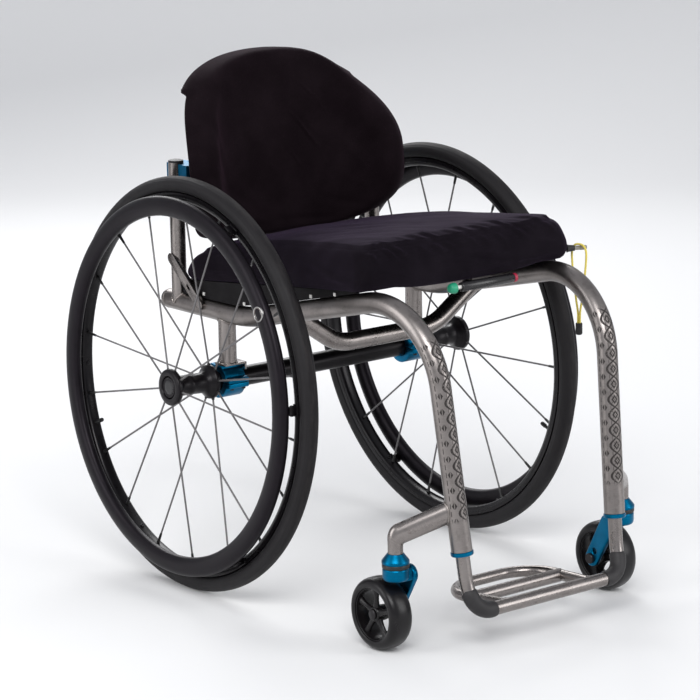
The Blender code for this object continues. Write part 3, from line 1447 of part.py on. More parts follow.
def smooth_points(route, spacing):
    """Points along a smooth curve through the route, about this far apart."""
    ends = [route[0] * 2 - route[1]] + list(route) + [route[-1] * 2 - route[-2]]
    fine = []
    for i in range(1, len(ends) - 2):
        a, b, c, d = ends[i - 1 : i + 3]
        for k in range(16):
            t = k / 16
            square = (2 * a - 5 * b + 4 * c - d) * t**2
            cube = (3 * b - a - 3 * c + d) * t**3
            fine.append(0.5 * (2 * b + (c - a) * t + square + cube))
    fine.append(route[-1].copy())
    spaced = [fine[0]]
    for point in fine[1:-1]:
        if (point - spaced[-1]).length >= spacing:
            spaced.append(point)
    if (fine[-1] - spaced[-1]).length < spacing / 2:
        spaced.pop()
    return spaced + [fine[-1]]


def cord_route():
    """The looped cord: up from its toggle, over the valve stem and down to the toggle again."""
    start, out = air_valve_place()
    top = start + out * (AIR_VALVE_BASE_LENGTH + CORD_RADIUS + 0.0055)
    top.z += AIR_VALVE_STEM_RADIUS + GAP + CORD_RADIUS
    sideways = Vector((math.cos(CORD_LOOP_TURN), math.sin(CORD_LOOP_TURN), 0))
    half = [
        (0.0, 0.0),
        (0.0052, -0.0007),
        (0.0098, -0.0048),
        (CORD_LOOP_HALF, -0.0130),
        (CORD_LOOP_HALF * 0.93, -0.0300),
        (CORD_LOOP_HALF * 0.68, -0.0560),
        (CORD_LOOP_HALF * 0.40, -0.0800),
        (CORD_STRAND, -0.0980),
        (CORD_STRAND, CORD_END + 0.0080),
        (CORD_STRAND, CORD_END),
    ]
    flat = [(-x, z) for x, z in half[:0:-1]] + half
    return [top + sideways * x + Vector((0, 0, z)) for x, z in flat], top


def valve_cord(chair):
    """The cord, and the end toggle that holds both of its ends."""
    route, top = cord_route()
    path = smooth_points(route, 0.0080)
    added("valve_cord", tube(path, CORD_RADIUS, 8), finish("yellow_cord", (0.75, 0.62, 0.02), 0.7), chair)
    room = (CORD_STRAND + CORD_RADIUS + GAP) / math.cos(math.pi / 14)
    mouth = TOGGLE_LENGTH - TOGGLE_FLOOR
    profile = [
        (-TOGGLE_FLOOR, 0),
        (-TOGGLE_FLOOR, TOGGLE_RADIUS - 0.0012),
        (-TOGGLE_FLOOR + 0.0012, TOGGLE_RADIUS),
        (mouth - 0.0010, TOGGLE_RADIUS),
        (mouth, TOGGLE_RADIUS - 0.0006),
        (mouth, room),
        (0, room),
        (0, 0),
    ]
    place = Matrix.Translation((top.x, top.y, top.z + CORD_END - GAP))
    added("cord_toggle", turned(profile, 14, "Z"), black_plastic(), chair, place)


def build():
    clear_scene()
    chair = bpy.data.objects.new("chair", None)
    bpy.context.scene.collection.objects.link(chair)
    chair.location = (0, -MIDDLE_Y, 0)
    rear_wheels(chair)
    side_tubes(chair)
    cross_tube(chair)
    risers(chair)
    back_posts(chair)
    gussets(chair)
    camber_tube(chair)
    camber_clamps(chair)
    leg_collars(chair)
    footrest(chair)
    caster_arms(chair)
    casters(chair)
    backrest(chair)
    back_brackets(chair)
    seat_pan(chair)
    cushion(chair)
    slide_valve(chair)
    air_valve(chair)
    valve_cord(chair)


build()
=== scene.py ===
from functools import partialmethod
from math import acos, asin, atan2, ceil, copysign, cos, exp, pi, radians, sin, sqrt, tan, tau

import bmesh
import bpy
from mathutils import Matrix, Vector, noise


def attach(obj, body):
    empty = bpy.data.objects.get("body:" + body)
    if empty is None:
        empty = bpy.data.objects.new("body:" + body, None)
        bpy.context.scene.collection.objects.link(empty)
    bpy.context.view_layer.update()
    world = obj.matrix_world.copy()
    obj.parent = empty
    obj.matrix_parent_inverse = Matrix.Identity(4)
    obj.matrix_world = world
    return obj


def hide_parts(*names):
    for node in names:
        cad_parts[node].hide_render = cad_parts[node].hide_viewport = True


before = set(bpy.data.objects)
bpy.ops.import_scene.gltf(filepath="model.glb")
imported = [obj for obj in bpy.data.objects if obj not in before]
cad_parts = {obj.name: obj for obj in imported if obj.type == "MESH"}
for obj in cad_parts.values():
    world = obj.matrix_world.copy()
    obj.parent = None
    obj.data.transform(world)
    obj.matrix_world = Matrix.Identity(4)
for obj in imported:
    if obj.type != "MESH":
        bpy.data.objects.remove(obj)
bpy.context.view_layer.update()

scene = bpy.context.scene
TAU = tau
QUARTER = TAU / 4
UP = Vector((0, 0, 1))
SIDES = (("right", -1), ("left", 1))

# Sizes are in metres in the chair's own frame, with the rear axle at y = 0
CHAIR_Y = 0.1102522
CHAIR = Matrix.Translation((0, CHAIR_Y, 0))
GAP = 0.0003

# Wheels
CAMBER = radians(2.0)
TRACK_HALF = 0.2321
TYRE_RADIUS = 0.295
TYRE_SECTION = 0.0125
TYRE_SEAT_RADIUS = 0.27321
HUB_Z = (TYRE_RADIUS - TYRE_SECTION) * cos(CAMBER) + TYRE_SECTION
RIM_INNER_RADIUS = 0.260
HANDRIM_RADIUS = 0.2555
HANDRIM_OFFSET = 0.028
HANDRIM_HALF = (0.0085, 0.014)
HANDRIM_POWER = 2.35
SPOKES = 18
SPOKE_PHASE = {"right": radians(12.8), "left": radians(20.6)}
TABS = 6
TAB_PHASE = radians(3)
CAMBER_TUBE_RADIUS = 0.0143
CAMBER_TUBE_HALF = 0.186
CAMBER_TUBE_Z = HUB_Z - tan(CAMBER) * (TRACK_HALF - CAMBER_TUBE_HALF + 0.018)
CLAMP_X = (0.150, 0.184)
CLAMP_RADIUS = 0.0245
CLAMP_FLAT = 0.0145
CLAMP_TOP = sqrt(CLAMP_RADIUS**2 - CLAMP_FLAT**2) + 0.004

# Frame
TUBE = 0.0143
THIN_TUBE = 0.0127
SEAT_REAR = (0.174, 0.123, 0.3925)
SEAT_BEND = (0.1705, -0.0626, 0.3925)
FRONT_BEND = (0.1535, -0.4405, 0.4805)
LEG_END = (0.1365, -0.4833, 0.1423)
RISER_X = 0.170
RISER_Y = -0.010
POST_X = 0.177
POST_Y = 0.096
POST_TOP = 0.595
POST_RADIUS = 0.011
CROSS_Y = -0.157
CROSS_LOW = (0.0867, CROSS_Y, 0.359)
FOOT_TUBE = 0.0095
FOOT_BAR = (-0.5038, 0.060)
LOOP_RADIUS = 0.0079
LOOP_FRONT_X = 0.0745
LOOP_REAR = (0.0831, -0.368)
LOOP_DROP = 0.0108
MIDDLE_BAR_Y = -0.437

# Casters
CASTER_X = 0.2024
SWIVEL_Y = -0.426
CASTER_AXLE_Y = SWIVEL_Y + 0.0317
CASTER_RADIUS = 0.0495
NECK_END_Z = 0.139
NECK_RADIUS = 0.01025
FORK_TOP_Z = 0.106
FORK_NEAR = 0.020
FORK_FAR = FORK_NEAR + 0.008

# Backrest and cushion
BACK_HALF_WIDTH = 0.191
BACK_MIDDLE_Z = 0.585
HOOD_LIP_Z = 0.689
PAD_THICKNESS = 0.044
CUSHION_HALF = 0.187
CUSHION_FRONT = -0.344
CUSHION_REAR = 0.085


def mirrored(point, side):
    return Vector((side * point[0], point[1], point[2]))


def mm(*points):
    """Points written in millimetres."""
    return [tuple(value / 1000 for value in point) for point in points]


def shifted(points, along, out=0.0):
    return [(along + a, out + b) for a, b in points]


def held(value):
    """The value, kept from 0 to 1."""
    return max(0.0, min(1.0, value))


def smooth(share):
    return share * share * (3 - 2 * share)


def signed_power(value, power):
    return copysign(abs(value) ** power, value)


def on_both_sides(make):
    for name, side in SIDES:
        make(name, side)


def placed(name, data):
    obj = bpy.data.objects.new(name, data)
    scene.collection.objects.link(obj)
    return obj


# Camera, set where the photograph was taken from


def add_camera():
    azimuth, elevation, roll = (radians(a) for a in (-37.6836, 12.8841, -0.9513))
    flat = cos(elevation)
    back = Vector((sin(azimuth) * flat, -cos(azimuth) * flat, sin(elevation)))
    level = UP.cross(back).normalized()
    lift = back.cross(level)
    right = level * cos(roll) + lift * sin(roll)
    up = lift * cos(roll) - level * sin(roll)
    eye = bpy.data.cameras.new("camera")
    eye.sensor_width = 36.0
    eye.lens = 149.78
    eye.clip_end = 50
    camera = placed("camera", eye)
    place = Matrix((right, up, back)).transposed().to_4x4()
    place.translation = Vector((-0.0226, -0.1027 + CHAIR_Y, 0.3304)) + back * 4.1454
    camera.matrix_world = place
    scene.camera = camera


add_camera()


# Materials, from nodes


class Number:
    """A number in a material's nodes, so that a pattern reads as arithmetic."""

    def __init__(self, tree, socket):
        self.tree = tree
        self.socket = socket

    def step(self, operation, *others):
        node = self.tree.nodes.new("ShaderNodeMath")
        node.operation = operation
        for slot, value in zip(node.inputs, (self, *others)):
            if isinstance(value, Number):
                self.tree.links.new(value.socket, slot)
            else:
                slot.default_value = value
        return Number(self.tree, node.outputs[0])

    __add__ = partialmethod(step, "ADD")
    __sub__ = partialmethod(step, "SUBTRACT")
    __mul__ = partialmethod(step, "MULTIPLY")
    sin = partialmethod(step, "SINE")
    cos = partialmethod(step, "COSINE")
    abs = partialmethod(step, "ABSOLUTE")
    most = partialmethod(step, "MAXIMUM")
    least = partialmethod(step, "MINIMUM")

    def wrapped(self, size):
        """Repeats from -size/2 to size/2."""
        return self.step("WRAP", size / 2, -size / 2)

    def under(self, edge, soft):
        """1 below the edge and 0 above it, with a soft step between."""
        node = self.tree.nodes.new("ShaderNodeMapRange")
        node.interpolation_type = "SMOOTHSTEP"
        self.tree.links.new(self.socket, node.inputs["Value"])
        limits = {"From Min": edge - soft, "From Max": edge + soft, "To Min": 1.0, "To Max": 0.0}
        for name, value in limits.items():
            node.inputs[name].default_value = value
        return Number(self.tree, node.outputs["Result"])


FINISHES = {}


class Finish:
    """A material with its shader, and the patterns that feed it."""

    def __init__(self, name, slot, colour, roughness, metallic=0.0, on_object=False, **sockets):
        self.slot = slot
        self.material = bpy.data.materials.new(name)
        self.material.use_nodes = True
        self.tree = self.material.node_tree
        self.link = self.tree.links.new
        self.shader = self.tree.nodes["Principled BSDF"]
        self.colour = (*colour, 1)
        self.height = None
        sockets |= {"Base_Color": self.colour, "Roughness": roughness, "Metallic": metallic}
        for key, value in sockets.items():
            self.shader.inputs[key.replace("_", " ")].default_value = value
        if on_object:
            self.place = self.add("ShaderNodeTexCoord").outputs["Object"]
        else:
            place = self.add("ShaderNodeAttribute")
            place.attribute_name = "skin"
            self.place = place.outputs["Vector"]
        FINISHES[name] = self

    def add(self, kind, **inputs):
        node = self.tree.nodes.new(kind)
        for key, value in inputs.items():
            node.inputs[key].default_value = value
        return node

    def axes(self, vector=None):
        """The x, y and z of the place, or of another vector."""
        node = self.add("ShaderNodeSeparateXYZ")
        self.link(vector or self.place, node.inputs[0])
        return [Number(self.tree, out) for out in node.outputs]

    def pattern(self, kind, output, scale, **inputs):
        """A pattern's number, stretched by one scale, or by one along each axis."""
        stretch = self.add("ShaderNodeMapping", Scale=scale if isinstance(scale, tuple) else (scale,) * 3)
        self.link(self.place, stretch.inputs["Vector"])
        node = self.add(kind, Scale=1.0, **inputs)
        self.link(stretch.outputs["Vector"], node.inputs["Vector"])
        return Number(self.tree, node.outputs[output])

    def grain(self, scale, detail=3.0, rough=0.55):
        """Noise from 0 to 1."""
        return self.pattern("ShaderNodeTexNoise", "Fac", scale, Detail=detail, Roughness=rough)

    def cells(self, scale):
        return self.pattern("ShaderNodeTexVoronoi", "Distance", scale)

    def tint(self, share, other):
        """Mixes another colour in by a share."""
        node = self.add("ShaderNodeMix")
        node.data_type = "RGBA"
        self.link(share.socket, node.inputs[0])
        now = self.shader.inputs["Base Color"]
        if now.is_linked:
            self.link(now.links[0].from_socket, node.inputs[6])
        else:
            node.inputs[6].default_value = self.colour
        node.inputs[7].default_value = (*other, 1)
        self.link(node.outputs[2], now)

    def feed(self, socket, share, low, high):
        """Takes a socket from low to high by a share."""
        number = share * (high - low) + low
        self.link(number.socket, self.shader.inputs[socket])

    def raised(self, height, depth):
        """Adds relief of this depth in metres."""
        height = height * depth
        self.height = self.height + height if self.height else height

    def done(self):
        bump = self.add("ShaderNodeBump", Strength=1.0, Distance=1.0)
        self.link(self.height.socket, bump.inputs["Height"])
        self.link(bump.outputs["Normal"], self.shader.inputs["Normal"])


def titanium_finish(name, etched=False):
    """Satin titanium, brushed round the tube, and smudged by handling."""
    f = Finish(name, "titanium", (0.255, 0.232, 0.222), 0.34, 1.0)
    brush = f.grain((2600, 130, 130), 2.0)
    cloud = f.grain((24, 45, 45), 4.0)
    smudge = f.grain((70, 110, 110), 5.0, 0.7)
    f.tint(cloud.under(0.48, 0.2), (0.195, 0.176, 0.168))
    f.tint(brush.under(0.42, 0.2) * 0.35, (0.36, 0.335, 0.32))
    f.tint(smudge.under(0.40, 0.07) * 0.5, (0.155, 0.138, 0.130))
    f.feed("Roughness", cloud * 0.5 + smudge * 0.5, 0.15, 0.40)
    f.raised(brush, 0.000010)
    f.raised(smudge, 0.000004)
    if etched:
        etch(f)
    f.done()


def etch(f):
    """A plain braid of two lines with lozenges in its eyes, burnt dark down the front of each leg."""
    along, front, across = f.axes()
    angle = across.step("ARCTAN2", front)
    near = angle.abs()
    pitch = 0.042
    turn = along * (TAU / pitch)

    def braid(wave, edge, soft):
        return (angle - wave).abs().least((angle + wave).abs()).under(edge, soft)

    line = braid(turn.sin() * 0.62, 0.12, 0.035)
    hair = braid(turn.cos() * 0.42, 0.035, 0.02)
    eye = near + (along - pitch / 4).wrapped(pitch / 2).abs() * 52
    lozenge = eye.under(0.34, 0.03) - eye.under(0.15, 0.03)
    off_leaf = (near - 1.02).abs()
    leaf = (off_leaf + along.wrapped(pitch / 2).abs() * 46).under(0.26, 0.03) - off_leaf.under(0.035, 0.02)
    rail = (near - 1.42).abs().under(0.04, 0.016)
    dash = along.wrapped(pitch / 4).abs().under(pitch / 12, 0.0006)
    mark = line.most(hair * 0.8).most(lozenge).most(leaf).most(rail * dash)
    reach = (along - 0.160).abs().under(0.118, 0.004)
    worn = f.grain((420, 300, 300), 4.0, 0.7).under(0.66, 0.12)
    shade = mark * reach * worn
    f.tint(shade, (0.012, 0.008, 0.007))
    f.feed("Roughness", shade, 0.34, 0.62)
    f.feed("Metallic", shade, 1.0, 0.15)
    f.raised(shade, -0.00006)


def metal_finish(name, slot, colour, roughness, lines, metallic=1.0, shine=0.5, on_object=False):
    """Turned or anodised metal with fine machining lines and a few darker smudges."""
    f = Finish(name, slot, colour, roughness, metallic, on_object, Specular_IOR_Level=shine)
    turned_lines = f.grain((3800, 14, 14), 1.5)
    cloud = f.grain(60, 4.0, 0.65)
    f.tint(cloud.under(0.46, 0.2) * 0.7, [c * 0.62 for c in colour])
    f.tint(turned_lines.under(0.40, 0.12) * lines * 0.5, [min(1.0, c * 1.35 + 0.01) for c in colour])
    f.feed("Roughness", cloud, roughness - 0.07, roughness + 0.12)
    f.raised(turned_lines, 0.000008 * lines)
    f.done()


def plastic_finish(name, slot, colour, roughness, pebble=0.00002, shine=0.5, on_object=False):
    """Moulded plastic with a fine spark texture and dull patches."""
    f = Finish(name, slot, colour, roughness, 0.0, on_object, Specular_IOR_Level=shine)
    cloud = f.grain(45, 5.0, 0.65)
    f.tint(cloud.under(0.44, 0.16) * 0.45, [c * 1.5 + 0.004 for c in colour])
    f.feed("Roughness", cloud, roughness - 0.08, roughness + 0.14)
    f.raised(f.cells(1400), pebble)
    f.done()


def tyre_finish():
    """Slick rubber: a scuffed, dusty tread band, and fine ribs round the side walls."""
    f = Finish("tyre_rubber", "tyre", (0.0056, 0.0045, 0.0056), 0.54, Specular_IOR_Level=0.28)
    along, across, up = f.axes()
    radius = (across * across + up * up).step("SQRT")
    tread = (radius * -1.0).under(-0.2935, 0.0006)
    ribs = (radius * (TAU / 0.0011)).sin() * (radius - 0.2835).abs().under(0.0042, 0.0006)
    scuff = f.grain((160, 34, 34), 5.0, 0.75)
    dust = f.grain((18, 16, 16), 4.0)
    f.tint(scuff.under(0.47, 0.12) * tread * 0.75, (0.016, 0.0135, 0.014))
    f.tint(dust.under(0.44, 0.18) * 0.45, (0.010, 0.0084, 0.010))
    f.feed("Roughness", scuff * 0.5 + tread * 0.25 + dust * 0.25, 0.40, 0.86)
    f.raised(ribs, 0.00005)
    f.raised(f.grain(2400, 3.0, 0.7), 0.00003)
    f.done()


def knit_finish(name, colour, sheen, glow, pitch, depth):
    """Stretch cover cloth: a close knit with a soft nap. The weave follows whichever way a face looks."""
    nap = {"Sheen_Weight": sheen, "Sheen_Roughness": 0.42, "Sheen_Tint": (*glow, 1)}
    f = Finish(name, "cloth", colour, 0.88, 0.0, True, Specular_IOR_Level=0.08, **nap)
    x, y, z = f.axes()
    k = TAU / pitch
    facing = f.add("ShaderNodeNewGeometry")
    nx, ny, nz = (number.abs() for number in f.axes(facing.outputs["Normal"]))

    def rows(a, b):
        return (a * k).sin() * (b * (k * 0.62) + (a * (k / 2)).sin() * 0.9).sin()

    weave = rows(x, y) * nz.most(0.001) + rows(x, z) * ny + rows(y, z) * nx
    cloud = f.grain(15, 4.0, 0.6)
    lint = f.cells(260).under(0.10, 0.06)
    f.tint(weave.under(0.0, 0.8) * 0.45, [c * 0.35 for c in colour])
    f.tint(cloud.under(0.47, 0.2) * 0.5, [c * 1.7 + 0.002 for c in colour])
    f.tint(lint * 0.12, (0.03, 0.027, 0.03))
    f.feed("Roughness", cloud, 0.78, 0.98)
    f.raised(weave, depth)
    f.raised(f.grain(900, 4.0, 0.8), depth * 0.8)
    f.done()


def shell_finish():
    """The backrest shell: black twill laminate under a satin lacquer."""
    coat = {"Coat_Weight": 0.35, "Coat_Roughness": 0.28}
    f = Finish("shell_laminate", "shell", (0.0075, 0.0072, 0.008), 0.34, 0.0, True, **coat)
    x, y, z = f.axes()
    pitch = 0.0046
    stripe, cross = ((run.wrapped(pitch) * (1 / pitch)).abs().under(0.25, 0.05) for run in (x + z, x - z))
    twill = (stripe - cross).abs()
    dust = f.grain(30, 5.0, 0.7)
    f.tint(twill * 0.8, (0.021, 0.020, 0.023))
    f.tint(dust.under(0.42, 0.15) * 0.35, (0.030, 0.029, 0.029))
    f.feed("Roughness", dust * 0.5 + twill * 0.5, 0.26, 0.52)
    f.raised((x * (TAU / 0.0007)).sin() * twill, 0.00001)
    f.done()


def cord_finish():
    """Braided yellow cord: two sets of strands crossing round it."""
    f = Finish("braided_yellow", "yellow_cord", (0.80, 0.66, 0.10), 0.72, Sheen_Weight=0.25)
    along, across, up = f.axes()
    turn = across.step("ARCTAN2", up) * 4.0
    climb = along * (TAU / 0.0042)
    braid = (turn + climb).sin().most((turn - climb).sin())
    fuzz = f.grain(2200, 3.0, 0.8)
    f.tint(braid.under(0.35, 0.3) * 0.75, (0.42, 0.30, 0.02))
    f.tint(fuzz.under(0.38, 0.1) * 0.4, (0.95, 0.88, 0.45))
    f.raised(braid, 0.00016)
    f.raised(fuzz, 0.00004)
    f.done()


titanium_finish("satin_titanium")
titanium_finish("etched_titanium", True)
# Each row: name, slot, colour, roughness, and how strong the lines are. Then metallic, specular level, and
# whether the pattern follows the object rather than the skin
for row in (
    ("weld_bead", "titanium", (0.30, 0.272, 0.255), 0.28, 0.2),
    ("blue_anodised", "blue_anodised", (0.0008, 0.125, 0.25), 0.34, 1.0),
    ("blue_blocks", "blue_anodised", (0.0008, 0.11, 0.225), 0.36, 0.4, 1.0, 0.5, True),
    ("black_hub", "black_aluminium", (0.006, 0.0046, 0.0062), 0.30, 1.0, 0.4, 0.30),
    ("black_camber_tube", "black_aluminium", (0.008, 0.0066, 0.0078), 0.30, 0.7, 0.6, 0.35),
    ("black_handrim", "black_aluminium", (0.0085, 0.0062, 0.0092), 0.38, 0.3, 0.6, 0.30),
    ("black_rim", "black_aluminium", (0.006, 0.0048, 0.0062), 0.27, 0.6, 0.4, 0.35),
    ("steel", "steel", (0.40, 0.39, 0.38), 0.28, 1.0),
    ("dark_screws", "steel", (0.030, 0.028, 0.030), 0.32, 0.8, 0.8),
    # The handrim dish is the ring's steel darkened: painted shade in the plug's hollow
    ("handrim_dish_painted_shade", "steel", (0.17, 0.145, 0.135), 0.24, 0.6),
    ("valve_stem", "steel", (0.33, 0.31, 0.27), 0.32, 1.0),
):
    metal_finish(*row)
# Each row: name, slot, colour, roughness, and the depth of the texture. Then specular level, and whether the
# pattern follows the object rather than the skin
for row in (
    ("spoke_fibre", "black_aluminium", (0.105, 0.100, 0.102), 0.34, 0.00001),
    ("spoke_ends", "black_aluminium", (0.006, 0.0055, 0.006), 0.38, 0.00001),
    ("black_plastic", "black_plastic", (0.006, 0.005, 0.0062), 0.42, 0.00002, 0.35),
    ("seat_pan_sheet", "black_plastic", (0.0035, 0.0027, 0.0034), 0.62, 0.00003, 0.15, True),
    ("valve_barrel", "black_plastic", (0.0065, 0.0058, 0.0068), 0.24, 0.000004),
    ("caster_wheel_plastic", "black_plastic", (0.004, 0.0032, 0.0038), 0.24, 0.000006, 0.30),
    ("caster_tyre_rubber", "rubber", (0.004, 0.0033, 0.004), 0.28, 0.000006, 0.28),
    ("sleeve_rubber", "rubber", (0.0095, 0.0082, 0.0092), 0.55, 0.00003),
    ("seal_rubber", "rubber", (0.006, 0.0055, 0.0062), 0.42, 0.00001),
    ("white_plastic", "green_plastic", (0.62, 0.61, 0.58), 0.38, 0.00001),
    ("green_plastic", "green_plastic", (0.008, 0.235, 0.125), 0.42, 0.00001),
    ("red_plastic", "green_plastic", (0.30, 0.010, 0.035), 0.42, 0.00001),
    ("pale_studs", "black_plastic", (0.52, 0.51, 0.49), 0.45, 0.00001),
):
    plastic_finish(*row)
tyre_finish()
knit_finish("cushion_cover", (0.0036, 0.0022, 0.004), 0.06, (0.66, 0.44, 0.86), 0.0016, 0.0001)
knit_finish("backrest_cover", (0.0042, 0.0017, 0.003), 0.04, (0.66, 0.32, 0.52), 0.0022, 0.00012)
knit_finish("seam_cloth", (0.004, 0.0028, 0.0038), 0.05, (0.55, 0.48, 0.6), 0.001, 0.00006)
shell_finish()
cord_finish()


# Mesh tools


def joined(bm, part, place=Matrix()):
    """Moves a part into place and adds it to a mesh in the making."""
    part.transform(place)
    mesh = bpy.data.meshes.new("part")
    part.to_mesh(mesh)
    part.free()
    bm.from_mesh(mesh)
    bpy.data.meshes.remove(mesh)
    return bm


def skinned(part):
    """Keeps each point's place before it is moved, for the patterns that follow the piece."""
    skin = part.verts.layers.float_vector.new("skin")
    for vert in part.verts:
        vert[skin] = vert.co


def piece(name, bm, finish, body, angle=38, node=None):
    """An object from a mesh in the chair's frame. It rides on a body, and may replace a CAD piece."""
    bm.transform(CHAIR)
    mesh = bpy.data.meshes.new(name)
    bm.to_mesh(mesh)
    bm.free()
    mesh.shade_smooth()
    mesh.set_sharp_from_angle(angle=radians(angle))
    mesh.materials.append(FINISHES[finish].material)
    obj = placed(name, mesh)
    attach(obj, body)
    if node:
        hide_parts(node)
    return obj


def turned(bm, profile, steps, place=Matrix()):
    """Spins a profile of (along X, radius) points round X. A profile off the axis closes on itself."""
    part = bmesh.new()
    corners = [part.verts.new((along, 0, radius)) for along, radius in profile]
    edges = [part.edges.new(pair) for pair in zip(corners, corners[1:])]
    if profile[0][1] > 0:
        edges.append(part.edges.new((corners[-1], corners[0])))
    spin = {"cent": (0, 0, 0), "axis": (1, 0, 0), "angle": TAU, "steps": steps, "use_merge": True}
    bmesh.ops.spin(part, geom=corners + edges, **spin)
    bmesh.ops.remove_doubles(part, verts=part.verts, dist=1e-6)
    bmesh.ops.recalc_face_normals(part, faces=part.faces)
    skinned(part)
    return joined(bm, part, place)


def turned_piece(name, profile, steps, place, finish, body, angle, node=None):
    return piece(name, turned(bmesh.new(), profile, steps, place), finish, body, angle, node)


def points_in(grown):
    return [item for item in grown if isinstance(item, bmesh.types.BMVert)]


def ringed(rings, count, point, ends="both"):
    """A bar extruded ring by ring from a numbered circle. Point gives a place, and the place for patterns."""
    part = bmesh.new()
    skin = part.verts.layers.float_vector.new("skin")
    slot = part.verts.layers.int.new("slot")
    verts = bmesh.ops.create_circle(part, segments=count, radius=1.0, cap_ends=False)["verts"]
    for i, vert in enumerate(verts):
        vert[slot] = i
    edges = part.edges[:]
    first = (verts, edges)
    for i, ring in enumerate(rings):
        if i:
            grown = bmesh.ops.extrude_edge_only(part, edges=edges)["geom"]
            verts = points_in(grown)
            fresh = set(verts)
            bars = [item for item in grown if isinstance(item, bmesh.types.BMEdge)]
            edges = [bar for bar in bars if bar.verts[0] in fresh and bar.verts[1] in fresh]
        for vert in verts:
            vert.co, vert[skin] = point(ring, TAU * vert[slot] / count)
    if ends == "joined":
        bmesh.ops.remove_doubles(part, verts=first[0] + verts, dist=1e-5)
    else:
        if ends == "both":
            bmesh.ops.contextual_create(part, geom=first[1])
        bmesh.ops.contextual_create(part, geom=edges)
    bmesh.ops.recalc_face_normals(part, faces=part.faces)
    part.verts.layers.int.remove(part.verts.layers.int["slot"])
    return part


def lofted(bm, rings, sides=32, ends="both"):
    """A bar through (centre, half axis, half axis, run) stations."""

    def point(ring, angle):
        centre, wide, tall, run = ring
        c, s = -sin(angle), cos(angle)
        return centre + wide * c + tall * s, (run, wide.length * c, tall.length * s)

    return joined(bm, ringed(rings, sides, point, ends))


def swept(bm, path, radius, sides=32, shares=None, lean=None, closed=False):
    """A round bar along a path, with no twist. Shares scale its radius along the way."""
    rings = []
    run = 0.0
    normal = lean or Vector((0.13, 0.31, 0.94))
    last = len(path) - 1
    for i, point in enumerate(path):
        if closed:
            ahead, behind = path[(i + 1) % last], path[(i - 1) % last]
        else:
            ahead, behind = path[min(i + 1, last)], path[max(i - 1, 0)]
        along = (ahead - behind).normalized()
        base = lean or normal
        normal = (base - along * base.dot(along)).normalized()
        if i:
            run += (point - path[i - 1]).length
        r = radius * (shares[i] if shares else 1.0)
        rings.append((point, normal * r, along.cross(normal) * r, run))
    return lofted(bm, rings, sides, "joined" if closed else "both")


def rounded_path(corners, radii, step=radians(4)):
    """A path through corners, each rounded by an arc of its radius."""
    corners = [Vector(corner) for corner in corners]
    path = [corners[0]]
    for i, radius in enumerate(radii, start=1):
        here = corners[i]
        back = (corners[i - 1] - here).normalized()
        ahead = (corners[i + 1] - here).normalized()
        inside = back.angle(ahead)
        middle = here + (back + ahead).normalized() * radius / sin(inside / 2)
        first = here + back * radius / tan(inside / 2) - middle
        last = here + ahead * radius / tan(inside / 2) - middle
        normal = first.cross(last).normalized()
        count = max(3, ceil((pi - inside) / step))
        for k in range(count + 1):
            path.append(middle + Matrix.Rotation((pi - inside) * k / count, 3, normal) @ first)
    path.append(corners[-1])
    return path


def filled_in(path, spacing):
    """The same path with extra points on its long stretches."""
    out = [path[0]]
    for a, b in zip(path, path[1:]):
        count = max(1, ceil((b - a).length / spacing))
        out += [a.lerp(b, k / count) for k in range(1, count + 1)]
    return out


def aimed(start, along, up="Z"):
    """A frame at start whose X points along."""
    turn = Vector(along).to_track_quat("X", up).to_matrix().to_4x4()
    return Matrix.Translation(start) @ turn


def softened(bm, part, edges, bevel, segments, place):
    """Bevels a part's edges and adds it to the mesh."""
    rounding = {"offset": bevel, "segments": segments, "profile": 0.5, "affect": "EDGES", "material": -1}
    bmesh.ops.bevel(part, geom=edges, **rounding)
    skinned(part)
    return joined(bm, part, place)


def plate(bm, outline, near, far, holes=(), bevel=0.0005, place=Matrix(), segments=2):
    """A flat plate across X from an outline of (y, z) points, with holes and softened edges."""
    part = bmesh.new()
    edges = []
    for loop in (outline, *holes):
        corners = [part.verts.new((near, a, b)) for a, b in loop]
        edges += [part.edges.new((a, b)) for a, b in zip(corners, corners[1:] + corners[:1])]
    bmesh.ops.triangle_fill(part, use_beauty=True, use_dissolve=False, edges=edges)
    grown = bmesh.ops.extrude_face_region(part, geom=part.faces[:])["geom"]
    bmesh.ops.translate(part, verts=points_in(grown), vec=(far - near, 0, 0))
    bmesh.ops.recalc_face_normals(part, faces=part.faces)
    rim = [edge for edge in part.edges if edge.is_manifold and edge.calc_face_angle() > radians(62)]
    return softened(bm, part, rim, bevel, segments, place)


def block(bm, low, high, bevel=0.0008, place=Matrix()):
    """A box with rounded edges."""
    part = bmesh.new()
    bmesh.ops.create_cube(part, size=1)
    low, high = Vector(low), Vector(high)
    for vert in part.verts:
        vert.co = (low + high) / 2 + Vector(abs(a) * b for a, b in zip(high - low, vert.co))
    return softened(bm, part, part.edges[:], bevel, 3, place)


def arc(centre, radius, start, end, steps):
    turns = [start + (end - start) * i / steps for i in range(steps + 1)]
    return [(centre[0] + radius * cos(a), centre[1] + radius * sin(a)) for a in turns]


def oval(half_wide, half_tall, count, power=2.0):
    """An oval's points, squarer as its power grows."""
    points = []
    for i in range(count):
        c, s = (signed_power(f(TAU * i / count), 2 / power) for f in (cos, sin))
        points.append((half_wide * c, half_tall * s))
    return points


